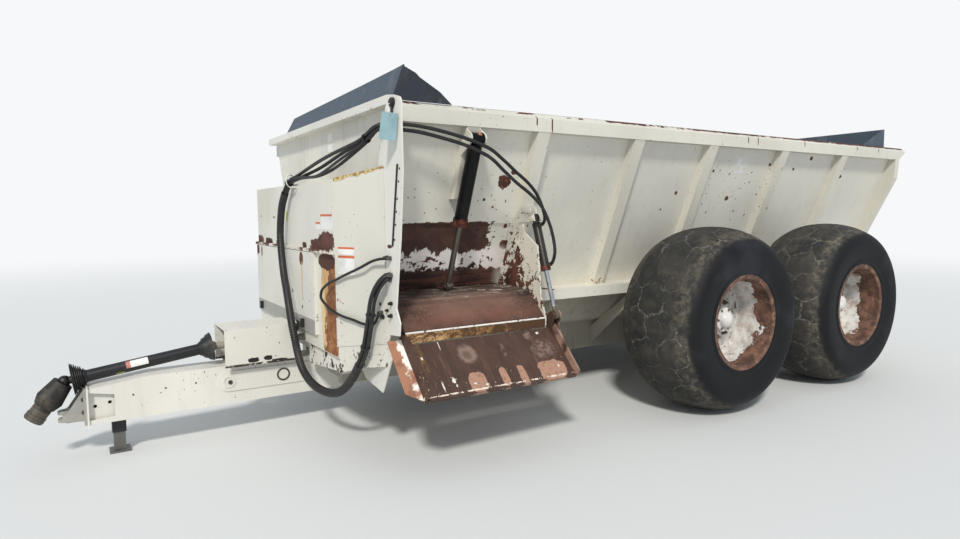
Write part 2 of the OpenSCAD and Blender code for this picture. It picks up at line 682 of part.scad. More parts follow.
// the slanting left corner of the enclosure and the skirt under it
module corner_panel() color("#dcd9cb") {
    a = [cover_x, -cover_left - seat];
    b = [tank_x0, -rail_in];
    along = unit(b - a);
    out = [along[1], -along[0]] * sheet_t;
    skirt_a = a + 8 * along;
    rise = 60;
    difference() {
        union() {
            difference() {
                translate([0, 0, cover_z0 + 60]) linear_extrude(cover_z1 + rise - cover_z0 - 60)
                    polygon([a, b, b + out, a + out]);
                // the lower edge rises to the rear
                along_y(-1400, 0) polygon([
                    [cover_x - 20, cover_z0], [tank_x0 + 10, cover_z0], [tank_x0 + 10, cover_z0 + 143],
                    [cover_x - 20, cover_z0 + 65]
                ]);
            }
            difference() {
                translate([0, 0, cover_z0 - 100]) linear_extrude(280)
                    polygon([skirt_a + 0.1 * out, b + 0.1 * out, b - out, skirt_a - out]);
                along_y(-1400, 0) polygon([
                    [cover_x - 20, cover_z0 - 110], [tank_x0 + 10, cover_z0 - 110],
                    [tank_x0 + 10, cover_z0 + 6],
                    [cover_x + 86, cover_z0 - 35], [cover_x, cover_z0 - 97], [cover_x - 20, cover_z0 - 97]
                ]);
            }
        }
        // so does the top edge
        along_y(-1400, 0) polygon([
            [cover_x - 20, cover_z1], [tank_x0, cover_z1 + rise], [tank_x0 + 10, cover_z1 + rise + 30],
            [cover_x - 20, cover_z1 + rise + 30]
        ]);
        box([tank_x0, -1400, cover_z0 - 110], [tank_x0 + 50, 0, cover_z1 + rise + 40]);
    }
}
module bulkhead() color("#dfdccf") {
    z = front_rail_z;
    inner = wall_y(z) + 2 + seat;
    // columns: distance to the left of the centreline, height
    along_x(tank_x0, inner_x0) polygon([
        [-inner, front_rail_z1], [-post_half + 98, z + 36], [-post_half + 23, z + 15],
        [-post_half + 6, z - 7],
        [-post_half, 1730], [-post_half + 40, 1377], [-post_half + 112, 970], [-post_half + 75, 909],
        [-post_half + 65, 890], [-post_half + 78, 817], [-post_half + 206, 806], [-post_half + 230, 752],
        [-post_half + 183, 668], [-post_half + 326, 434], [-post_half + 587, 468], [-post_half + 634, 508],
        [-rail_gap - 90, 400], [-rail_gap - 90, 500], [-wall_y(sill_z) + 66, 600],
        [-wall_y(sill_z) - 8, sill_z - 86],
        [-wall_y(sill_z) - seat, sill_z], [-wall_y(shelf_z) - seat, shelf_z + seat],
        [-wall_y(shelf_z) + wall_h, shelf_z + seat], [-wall_y(z) + wall_h, z - seat], [-inner, z - seat]
    ]);
}
module drive_box() color("#b9b6a8") {
    box([cover_x + 50, -160, 540], [tank_x0, 160, 1180]);
    box([cover_x + 50, -600, 760], [tank_x0, 600, 1180]);
    rod_x(shaft_rear[0], cover_x + 51, 0, shaft_rear[1], 24);
    translate([shaft_rear[0], 0, shaft_rear[1]]) sphere(r = ball_r);
}
ball_r = 36;
// the collar at the end of the joint boot: outer radius, where it starts, where it ends
collar_r = 54;
collar_s = 200;
end_length = 278;
module input_cover() color("#dcd9cc") {
    x0 = -2738;
    x1 = cover_x - 70;
    half = 175;
    difference() {
        box([x0, -half, tongue_z1 - 2], [x1, half, tongue_z1 + 256]);
        box([x0 - 1, -half + sheet_t, tongue_z1 - 3], [x1 + 1, half - sheet_t, tongue_z1 + 256 - sheet_t]);
    }
    // feet on the tongue
    for (x = [x0 + 38, x1 - 90]) box([x, -half + 1, tongue_z1], [x + 60, half - 1, tongue_z1 + 6.2]);
}

// discharge side

lip_pin_r = 8;
lip_boss_r = 24;
tray_x0 = -1950;     // where the tray's outer part and its bar begin
module tray() color("#5b3a2c") {
    difference() {
        along_x(inner_x0, end_x - end_t / 2) polygon([
            [-wall_y(port_z0), port_z0], [-tray_step_y, tray_step_z], [-tray_edge_y, tray_edge_z],
            [-tray_edge_y, tray_edge_z - tray_bar], [-tray_edge_y + plate_t, tray_edge_z - tray_bar],
            [-tray_edge_y + plate_t, tray_edge_z - 8], [-tray_step_y + 4, tray_step_z - 10],
            [-wall_y(port_z0) + 2, port_z0 - plate_t]
        ]);
        box([inner_x0 - 1, -tray_edge_y - 50, 700], [tray_x0, -tray_edge_y + 65, 1000]);
        along_x(end_x - rib_w / 2 - 1, end_x) wall_outline(-1, sill_z - 6, port_z0 + 10, -rib_d - 1);
    }
    // front cheek and its half of the lip's hinge pin
    along_x(tray_x0 - 2, tray_x0 + 6) polygon([
        [-tray_edge_y, tray_edge_z], [-tray_edge_y, tray_edge_z - tray_bar],
        [-tray_edge_y + 75, tray_edge_z - tray_bar],
        [-tray_edge_y + 75, tray_edge_z + 68]
    ]);
    rod_x(lip_x0 - 9, tray_x0 + 6, lip_hinge[0], lip_hinge[1], lip_pin_r);
}
module discharge_end() color("#cdc8b8") {
    // columns: distance to the left, height
    along_x(end_x - end_t / 2, end_x + end_t / 2) polygon([
        [-wall_y(port_z1) - rib_d, port_z1], [-wall_y(port_z1) - rib_d - 14, port_z1 - 62],
        [-tray_edge_y + 88, port_z1 - 153], [-tray_edge_y + 70, 1133], [-tray_edge_y + 53, 959],
        [-tray_edge_y, tray_edge_z], [-tray_edge_y, tray_edge_z - tray_bar],
        [-tray_edge_y + 125, tray_edge_z - tray_bar], [-sill_half, sill_z - sill_h], [-sill_half, sill_z],
        [-wall_y(sill_z) - rib_d, sill_z]
    ]);
    // rear half of the lip's hinge pin
    rod_x(end_x + end_t / 2 - 1, end_x + 27, lip_hinge[0], lip_hinge[1], lip_pin_r);
}
end_t = 12;
bracket_z0 = 1446;
bracket_z1 = 1560;
lip_root = [-tray_edge_y - 12, tray_edge_z - tray_bar - 8];
lip_x0 = tray_x0 - 16;
lip_x1 = end_x + 42;
lip_side_t = 8;
wing_fold = 30;      // how far the lip's front wing folds down from its plate
// s runs down the lip from its upper edge, up stands square to its plate
function lip_point(s, up) =
    lip_root + s * [-cos(lip_drop), -sin(lip_drop)] + up * [-sin(lip_drop), cos(lip_drop)];
lip_hinge = lip_point(-60, 0);
module lip_arm(x, t, outline) {
    difference() {
        along_x(x, x + t) {
            polygon([for (q = outline) lip_point(q[0], q[1])]);
            translate(lip_hinge) circle(r = lip_boss_r);
        }
        rod_x(x - 1, x + t + 1, lip_hinge[0], lip_hinge[1], lip_pin_r + run);
    }
}
module lip() color("#6a4231") {
    along_x(lip_x0, lip_x1) polygon([
        lip_point(0, 4), lip_point(lip_l, 4), lip_point(lip_l, -26), lip_point(lip_l - 6, -26),
        lip_point(lip_l - 6, -4), lip_point(0, -4)
    ]);
    // front side with its hinge arm
    lip_arm(lip_x0 - 4, lip_side_t, [
        [-60, 24], [-42, 55], [52, 92], [lip_l - 9, 54], [lip_l, 48], [lip_l, -4], [0, -4], [-60, -24]
    ]);
    // wing outside the front side
    translate([lip_x0 + 1, lip_root[0], lip_root[1]]) rotate([lip_drop, 0, 0]) mirror([1, 0, 0])
        rotate([0, wing_fold, 0]) translate([0, 0, -3.5]) linear_extrude(7)
            polygon([[0, 44], [88, 72], [92, 91 - lip_l], [0, -lip_l]]);
    // rear side
    along_x(lip_x1 - lip_side_t, lip_x1) polygon([
        lip_point(0, -4), lip_point(0, 50), lip_point(lip_l - 21, 48), lip_point(lip_l, 44),
        lip_point(lip_l, -4)
    ]);
    // lugs and pin for the lip cylinder; the inner lug is the rear hinge arm
    lug = [
        [-60, -24], [-84, 0], [-76, 88], [-62, 106], [-34, 106], [-20, 88], [10, 30], [120, 2],
        [120, -8], [0, -8]
    ];
    lip_arm(lip_cyl_x - 34, 10, lug);
    along_x(lip_cyl_x + 24, lip_cyl_x + 34) polygon([for (q = lug) lip_point(q[0], q[1])]);
    along_x(lip_x1 - 1, lip_cyl_x + 36)
        polygon([lip_point(0, 4), lip_point(140, 4), lip_point(140, -4), lip_point(0, -4)]);
    rod_x(lip_cyl_x - 36, lip_cyl_x + 36, lip_eye[0], lip_eye[1], lip_eye_pin_r);
}
lip_cyl_x = end_x + 48;
lip_eye = lip_point(-47, 85);
lip_top_z = 1474;
lip_top = [-wall_y(lip_top_z) - rib_d - 59, lip_top_z];
lip_dir = unit(lip_eye - lip_top);
lip_out = [lip_dir[1], -lip_dir[0]];
lip_top_pin_r = 14;
lip_eye_pin_r = 12;
lip_eye_play = 7;    // room round the lip's pin in the rod's eye
module lip_cylinder() color("#3a3a3a") {
    barrel_end = lip_top + lip_barrel_l * lip_dir;
    difference() {
        union() {
            rod_yz(lip_cyl_x, lip_top + 36 * lip_dir, barrel_end, 30);
            rod_yz(lip_cyl_x, barrel_end - 12 * lip_dir, barrel_end + 14 * lip_dir, 34);
            rod_x(lip_cyl_x - 16, lip_cyl_x + 16, lip_top[0], lip_top[1], 28);
            rod_yz(lip_cyl_x, lip_top + 16 * lip_dir, lip_top + 50 * lip_dir, 20);
            for (s = lip_ports)
                rod_yz(lip_cyl_x, lip_top + s * lip_dir + 20 * lip_out,
                    lip_top + s * lip_dir + port_out * lip_out, 12);
        }
        rod_x(lip_cyl_x - 20, lip_cyl_x + 20, lip_top[0], lip_top[1], lip_top_pin_r + run);
        rod_yz(lip_cyl_x, lip_top + 60 * lip_dir, barrel_end + 20 * lip_dir, 15 + seat);
    }
}
lip_barrel_l = 358;
lip_ports = [64, 345];
port_out = 45;
module lip_rod() color("#c8ccd0") {
    difference() {
        union() {
            rod_yz(lip_cyl_x, lip_top + (lip_barrel_l - 70) * lip_dir, lip_eye - 24 * lip_dir, 15);
            rod_x(lip_cyl_x - 14, lip_cyl_x + 14, lip_eye[0], lip_eye[1], 30);
        }
        rod_x(lip_cyl_x - 20, lip_cyl_x + 20, lip_eye[0], lip_eye[1], lip_eye_pin_r + lip_eye_play);
    }
}
// a point on the gate cylinder's axis, s mm down the slope from its top pin
gate_axis_out = 108;
gate_pin_z = 1960;
gate_pin_r = 16;
gate_eye_pin_r = 14;
function gate_axis(s) = [
    -(wall_y(gate_pin_z) + gate_axis_out / cos(wall_slope)) + s * sin(wall_slope),
    gate_pin_z - s * cos(wall_slope)
];
gate_barrel_s = gate_travel + 145;
gate_eye_s = (gate_pin_z - port_z0 - 28) / cos(wall_slope);
gate_gap = 6;
module gate_cylinder() color("#17181a") {
    c = gate_axis(0);
    difference() {
        union() {
            rod_yz(cylinder_x, gate_axis(34), gate_axis(gate_barrel_s), 43);
            rod_x(cylinder_x - 42, cylinder_x + 42, c[0], c[1], 36);
            rod_yz(cylinder_x, gate_axis(20), gate_axis(50), 28);
            rod_yz(cylinder_x, gate_axis(gate_barrel_s - 20), gate_axis(gate_barrel_s + 22), 48);
        }
        rod_x(cylinder_x - 43, cylinder_x + 43, c[0], c[1], gate_pin_r + run);
        rod_yz(cylinder_x, gate_axis(70), gate_axis(gate_barrel_s + 30), 19 + seat);
    }
}
module gate_rod() color("#8a8d90") {
    rod_yz(cylinder_x, gate_axis(gate_barrel_s - 60), gate_axis(gate_eye_s - 18), 19);
    difference() {
        rod_x(cylinder_x - 18, cylinder_x + 18, gate_axis(gate_eye_s)[0], gate_axis(gate_eye_s)[1], 30);
        rod_x(cylinder_x - 20, cylinder_x + 20, gate_axis(gate_eye_s)[0], gate_axis(gate_eye_s)[1],
            gate_eye_pin_r + seat);
    }
}
module gate() color("#6b4a3a") {
    inset = wall_h + gate_gap;
    e = gate_axis(gate_eye_s);
    along_x(port_x0 - 20, port_x1 + 20) polygon([
        [-wall_y(port_z0 + 6) + inset, port_z0 + 6], [-wall_y(port_z0 + 6) + inset + plate_t, port_z0 + 6],
        [-wall_y(port_z1 + 50) + inset + plate_t, port_z1 + 50], [-wall_y(port_z1 + 50) + inset, port_z1 + 50]
    ]);
    // ears and pin for the rod
    for (dx = [-34, 22]) along_x(cylinder_x + dx, cylinder_x + dx + 12) polygon([
        e + [-22, -8], e + [-20, 26], [-wall_y(port_z0 + 58) + inset + 1, port_z0 + 58],
        [-wall_y(port_z0 + 10) + inset + 1, port_z0 + 10], e + [0, -22]
    ]);
    rod_x(cylinder_x - 40, cylinder_x + 40, e[0], e[1], gate_eye_pin_r);
}

// rotors

module auger(side, x0, x1, turn) {
    h = x1 - x0 - 120;
    rod_x(x0 + 30, x1 - 30, side * auger_y, trough_z, auger_tube_r);
    rod_x(x0, x1, side * auger_y, trough_z, journal_r);
    translate([x0 + 60, side * auger_y, trough_z]) rotate([0, 90, 0])
        linear_extrude(
            height = h, twist = turn * 360 * h / auger_pitch, slices = round(24 * h / auger_pitch),
            segments = 4, convexity = 20
        ) polygon([[auger_tube_r - 4, -9], [auger_r, -20], [auger_r, 20], [auger_tube_r - 4, 9]]);
}
module auger_left() color("#5a4a3c") {
    auger(-1, end_x - 6 + 1, inner_x1 + 20, 1);
}
module auger_right() color("#5a4a3c") {
    auger(1, tank_x0 + 1, inner_x1 + 20, -1);
}
module expeller() color("#5c4436") {
    x0 = inner_x0 + 12;
    x1 = end_x - 24;
    rod_x(tank_x0 + 1, end_x - 7, -auger_y, trough_z, journal_r);
    rod_x(x0, x1, -auger_y, trough_z, auger_tube_r);
    rows = 6;
    for (i = [0 : rows - 1], k = [0 : 2]) {
        x = x0 + 60 + i * (x1 - x0 - 120) / (rows - 1);
        translate([x, -auger_y, trough_z]) rotate([k * 120 + i * 60, 0, 0]) {
            box([-14, -32, auger_tube_r - 12], [14, 32, expeller_r - 90]);
            box([-40, -26, expeller_r - 95], [40, 26, expeller_r]);
        }
    }
}

// drive shaft to the tractor, in the plane y = 0; columns: x, z
shaft_rear = [-2790, 612];
shaft_front = [-3610, 498];
shaft_dir = unit(shaft_rear - shaft_front);
module along_shaft(s0, s1, r0, r1) {
    p = shaft_front + s0 * shaft_dir;
    translate([p[0], 0, p[1]]) rotate([0, 90 - atan2(shaft_dir[1], shaft_dir[0]), 0])
        cylinder(h = s1 - s0, r1 = r0, r2 = r1);
}
end_pivot = shaft_front - 40 * shaft_dir;
module shaft_guard() color("#1b1c1e") {
    l = norm(shaft_rear - shaft_front);
    difference() {
        union() {
            along_shaft(20, l - 20, guard_r, guard_r);
            // ringed bells at both ends; columns: start, end, radii
            for (q = [[0, 30, 78, 70], [30, 60, 62, 56], [60, 84, 50, 40]])
                along_shaft(q[0], q[1], q[2], q[3]);
            for (q = [[l - 84, l - 60, 42, 56], [l - 60, l - 30, 64, 78], [l - 30, l, 84, 98]])
                along_shaft(q[0], q[1], q[2], q[3]);
            along_shaft(-40, 1, 24, 24);
        }
        translate([shaft_rear[0], 0, shaft_rear[1]]) sphere(r = ball_r + seat);
    }
    translate([end_pivot[0], 0, end_pivot[1]]) sphere(r = ball_r);
}
end_dir = unit([-0.62, -0.785]);
module along_end() {
    translate([end_pivot[0], 0, end_pivot[1]]) rotate([0, atan2(end_dir[0], end_dir[1]), 0]) children();
}
module shaft_end() color("#3a2f29") {
    along_end() difference() {
        rotate_extrude() polygon([
            [0, 10], [58, 10], [78, 130], [62, 178], [collar_r, 180], [collar_r, collar_s - seat],
            [0, collar_s - seat]
        ]);
        sphere(r = ball_r + seat);
    }
}
// collar that slides onto the tractor's spline
module shaft_collar() color("#6b635a") {
    along_end() rotate_extrude() polygon([
        [spline_r, collar_s], [collar_r, collar_s], [collar_r, end_length], [spline_r, end_length]
    ]);
}

// rubber shields on the rim of the tank

rubber_t = 8;
module shield_front() color("#2a2b2e") {
    z0 = front_rail_z1 + seat + rubber_t * sin(front_lean);
    z2 = rail_z1 + seat;
    x0 = tank_x0 + 43;
    apex = 178;
    side_y = -rail_half + 30;
    stretch = 1 / cos(front_lean);
    translate([x0, 0, z0]) rotate([0, front_lean, 0]) along_x(0, rubber_t) polygon([
        [rail_half - 425, 0], [rail_half - 515, 130 * stretch], [605 - rail_half, 160 * stretch],
        [155 - rail_half, 172 * stretch],
        [side_y, apex * stretch], [side_y, 0]
    ]);
    // the side piece starts within the front one's thickness
    inside = rubber_t / 2;
    side_apex = apex - rubber_t;
    along_y(side_y, side_y + rubber_t) polygon([
        [x0 + inside, z0], [x0 + inside + side_apex * tan(front_lean), z0 + side_apex],
        [x0 + 144, z0 + 138], [x0 + 171, z0 + 115],
        [x0 + 302, z0 + 44], [x0 + 383, z2], [tank_x0 + front_rail_w + 4, z2],
        [tank_x0 + front_rail_w + 4, z0]
    ]);
}
module shield_rear() color("#2a2b2e") {
    z0 = rail_z1 + seat;
    x0 = tank_x1 - 190;
    y0 = rail_half - 60;
    along_x(x0, x0 + rubber_t) polygon([[-y0, z0], [y0, z0], [y0, z0 + 180], [-y0, z0 + 180]]);
    for (y = [-y0, y0 - rubber_t]) along_y(y, y + rubber_t) polygon([
        [x0, z0], [x0, z0 + 180], [x0 - 390, z0 + 4], [x0 - 390, z0]
    ]);
    // straps down to the rear wall
    for (y = [-700, 0, 700]) box([x0, y - 20, rail_z - 60], [x0 + rubber_t, y + 20, z0 + 60]);
}

// hoses, by points chosen by hand
bundle_route = [
    [-2028.3, -1236, 2002], [-2052, -1236, 2002], [-2074, -1206, 1988], [-2084, -1130, 1955],
    [-2098, -1027, 1919],
    [-2125, -779, 1873],
    [-2155, -492, 1829], [-2180, -250, 1793], [-2203, -110, 1764], [-2224, -31, 1745], [-2235, 24, 1700],
    [-2241, 80, 1636], [-2246, 132, 1558], [-2250, 164, 1433], [-2252, 170, 1322], [-2258, 124, 1190],
    [-2268, 49, 1070], [-2280, -47, 970], [-2292, -140, 866], [-2300, -225, 747], [-2292, -260, 642],
    [-2278, -275, 540], [-2267, -330, 450], [-2255, -450, 390], [-2235, -592, 362], [-2208, -722, 362],
    [-2185, -835, 393], [-2165, -925, 455], [-2146, -1031, 567], [-2130, -1129, 711], [-2120, -1190, 892],
    [-2112, -1215, 1000], [-2100, -1248, 1072], [-2080, -1278, 1122], [-2054, -1292, 1147],
    [-2028.3, -1292, 1147]
];
thin_route = [
    [-2028.3, -1297, 1254], [-2050, -1297, 1254], [-2075, -1250, 1250], [-2096, -1172, 1232],
    [-2135, -1091, 1192], [-2175, -947, 1140],
    [-2202, -876, 1109], [-2220, -790, 1082], [-2229, -690, 1036], [-2231, -658, 1000], [-2231, -668, 966],
    [-2219, -780, 919], [-2191, -900, 888], [-2150, -998, 870], [-2122, -1066, 855], [-2097, -1115, 850],
    [-2080, -1155, 862], [-2078, -1190, 890], [-2076, -1207, 918], [-2065, -1203, 930],
    [-2046.2, -1194.6, 930]
];
upper_route = [
    [-2019.7, -1330, 2012], [-1960, -1330, 2012], [-1860, -1335, 2008], [-1740, -1350, 1990],
    [-1600, -1385, 1955],
    [-1500, -1395, 1925], [-1400, -1395, 1890], [-1280, -1360, 1830], [-1160, -1320, 1765],
    [-1050, -1290, 1705],
    [-970, -1272, 1640], [-915, -1262, 1560], [-882, -1252, 1490], [-872, -1236, 1452]
];
lower_route = [
    [-2019.7, -1330, 1980], [-1960, -1330, 1980], [-1860, -1335, 1974], [-1740, -1350, 1952],
    [-1600, -1385, 1915],
    [-1500, -1395, 1880], [-1400, -1395, 1838], [-1280, -1362, 1765], [-1160, -1330, 1695],
    [-1050, -1318, 1630],
    [-960, -1320, 1550], [-910, -1332, 1450], [-885, -1350, 1340], [-874, -1352, 1255], [-872, -1334, 1196]
];
// a hose's last point, against the lip cylinder's port
function port_end(s) =
    let (q = lip_top + s * lip_dir + (port_out + seat) * lip_out) [lip_cyl_x, q[0], q[1]];
function port_run(s) = port_end(s) + 22 * [0, lip_out[0], lip_out[1]];
// the routes are drawn for rails this far from the centreline, and widen with them on the left
route_half = 1305;
function widened(route) = [for (p = route)
    [p[0], p[1] - (rail_half - route_half) * min(1, max(0, (-p[1] - 30) / 1000)), p[2]]];
module hoses_front() color("#1c1c1d") {
    hose(widened(bundle_route), 22, 10);
    hose(widened(thin_route), 9);
}
module hoses_side() color("#1c1c1d") {
    hose(concat(widened(upper_route), [port_run(lip_ports[0]), port_end(lip_ports[0])]), 11);
    hose(concat(widened(lower_route), [port_run(lip_ports[1]), port_end(lip_ports[1])]), 11);
}

module tyre_front_left() color("#26282a") tyre(front_axle_x, -1);
module tyre_front_right() color("#26282a") tyre(front_axle_x, 1);
module tyre_rear_left() color("#26282a") tyre(rear_axle_x, -1);
module tyre_rear_right() color("#26282a") tyre(rear_axle_x, 1);
module rim_front_left() color("#b8aa9c") rim(front_axle_x, -1);
module rim_front_right() color("#b8aa9c") rim(front_axle_x, 1);
module rim_rear_left() color("#b8aa9c") rim(rear_axle_x, -1);
module rim_rear_right() color("#b8aa9c") rim(rear_axle_x, 1);

tongue();
hitch();
jack_tube();
jack_leg();
chassis();
axle_tube();
walking_beams();
tyre_front_left();
tyre_front_right();
tyre_rear_left();
tyre_rear_right();
rim_front_left();
rim_front_right();
rim_rear_left();
rim_rear_right();
tank_left();
tank_right();
tank_front();
tank_rear();
tank_floor();
side_rails();
ribs();
cylinder_ribs();
sills();
front_rail();
enclosure();
service_panel();
corner_panel();
bulkhead();
drive_box();
input_cover();
tray();
discharge_end();
lip();
gate();
gate_rod();
gate_cylinder();
lip_cylinder();
lip_rod();
auger_left();
auger_right();
expeller();
shaft_guard();
shaft_end();
shaft_collar();
shield_front();
shield_rear();
hoses_front();
hoses_side();
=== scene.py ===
"""Looks of a towed side-discharge manure spreader, built round its packed construction. Metres, +Z up."""
import math

import bmesh
import bpy
import numpy as np
from mathutils import Matrix, Vector


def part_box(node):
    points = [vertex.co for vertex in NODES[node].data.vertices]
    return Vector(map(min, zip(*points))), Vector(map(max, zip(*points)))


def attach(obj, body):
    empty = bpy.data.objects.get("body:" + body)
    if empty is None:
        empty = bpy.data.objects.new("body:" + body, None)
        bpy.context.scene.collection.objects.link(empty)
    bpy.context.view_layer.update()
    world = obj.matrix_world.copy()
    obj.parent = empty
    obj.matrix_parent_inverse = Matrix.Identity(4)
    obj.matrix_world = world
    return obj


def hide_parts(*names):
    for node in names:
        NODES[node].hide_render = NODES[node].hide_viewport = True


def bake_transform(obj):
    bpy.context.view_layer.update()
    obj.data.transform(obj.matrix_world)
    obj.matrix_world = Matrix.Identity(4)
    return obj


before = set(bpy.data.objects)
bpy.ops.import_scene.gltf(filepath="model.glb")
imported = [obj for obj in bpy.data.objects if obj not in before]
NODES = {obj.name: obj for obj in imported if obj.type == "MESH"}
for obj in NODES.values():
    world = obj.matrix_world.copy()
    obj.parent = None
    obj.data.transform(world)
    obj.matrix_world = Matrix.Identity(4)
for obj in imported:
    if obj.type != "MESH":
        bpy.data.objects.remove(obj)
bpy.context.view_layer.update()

# Camera, at the photograph's viewing angle
CAMERA_AT = Vector((-3.569, -4.681, 1.504))
CAMERA_YAW, CAMERA_PITCH, CAMERA_ROLL = 57.65, -4.917, -0.399
CAMERA_LENS, CAMERA_SENSOR = 24.19, 36.0

# Light
FILL_COLOR, FILL_STRENGTH = (0.86, 0.92, 1.0, 1), 0.62
BACKDROP_COLOR = (0.93, 0.94, 0.95, 1)
SUN_COLOR, SUN_STRENGTH, SUN_ANGLE = (1.0, 0.97, 0.92), 2.45, 7
SUN_FROM = (-0.46, -0.6, 0.66)
FLOOR_REACH = 60.0
FLOOR_FADE = (7.0, 24.0)           # distances over which the floor fades into the backdrop

# Places that the construction gives
WALL_SLOPE = math.radians(22)
WALL_TOP = (1.236, 2.034)          # distance from the centreline and height of a side wall's top
TYRE_LOW, TYRE_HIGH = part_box("tyre_front_left")
TYRE_R = 0.7
TYRE_HALF = (TYRE_HIGH.y - TYRE_LOW.y) / 2
TRACK_HALF = -(TYRE_HIGH.y + TYRE_LOW.y) / 2
AXLES = {"front": 0.56, "rear": 2.135}
COVER_X = -2.19                    # front face of the enclosure
TANK_X0 = -2.028                   # front face of the tank's lower front wall and of the corner post
LIP_ROOT = Vector((0, -1.32724, 0.742))     # where the lip's plate starts
LIP_DROP = math.radians(46)
COVER_BASE = 0.61                  # lower edge of the enclosure
UPPER_WALL_X = -1.952              # front face of the front wall above the enclosure
PANEL_ENDS = Vector((-2.1946, -0.8322, 0)), Vector((-2.0326, -1.2269, 0))   # of the corner panel's outside
POST_PLUG_Y = -1.362               # the plug and the tag's loop on the corner post
TONGUE_HALF = 0.11
STRAP_HALF = 0.118                 # outside of the strap on the tongue
HITCH_PLATE_X = -3.556
SHAFT_REAR, SHAFT_FRONT = Vector((-2.79, 0, 0.612)), Vector((-3.61, 0, 0.498))
SHAFT_RUN = Vector((-0.99048, 0, -0.1377))
END_PIVOT, END_RUN = Vector((-3.6496, 0, 0.4925)), Vector((-0.6198, 0, -0.7848))


def wall_y(z):
    """Distance of a side wall's outer face from the centreline at height z."""
    return WALL_TOP[0] - (WALL_TOP[1] - z) * math.tan(WALL_SLOPE)


def linear(color, share=1.0):
    """Linear colour of three 8-bit display values, times a share."""
    def channel(c):
        c /= 255
        return c / 12.92 if c <= 0.04045 else ((c + 0.055) / 1.055) ** 2.4
    return tuple(share * channel(c) for c in color) + (1.0,)


# Materials

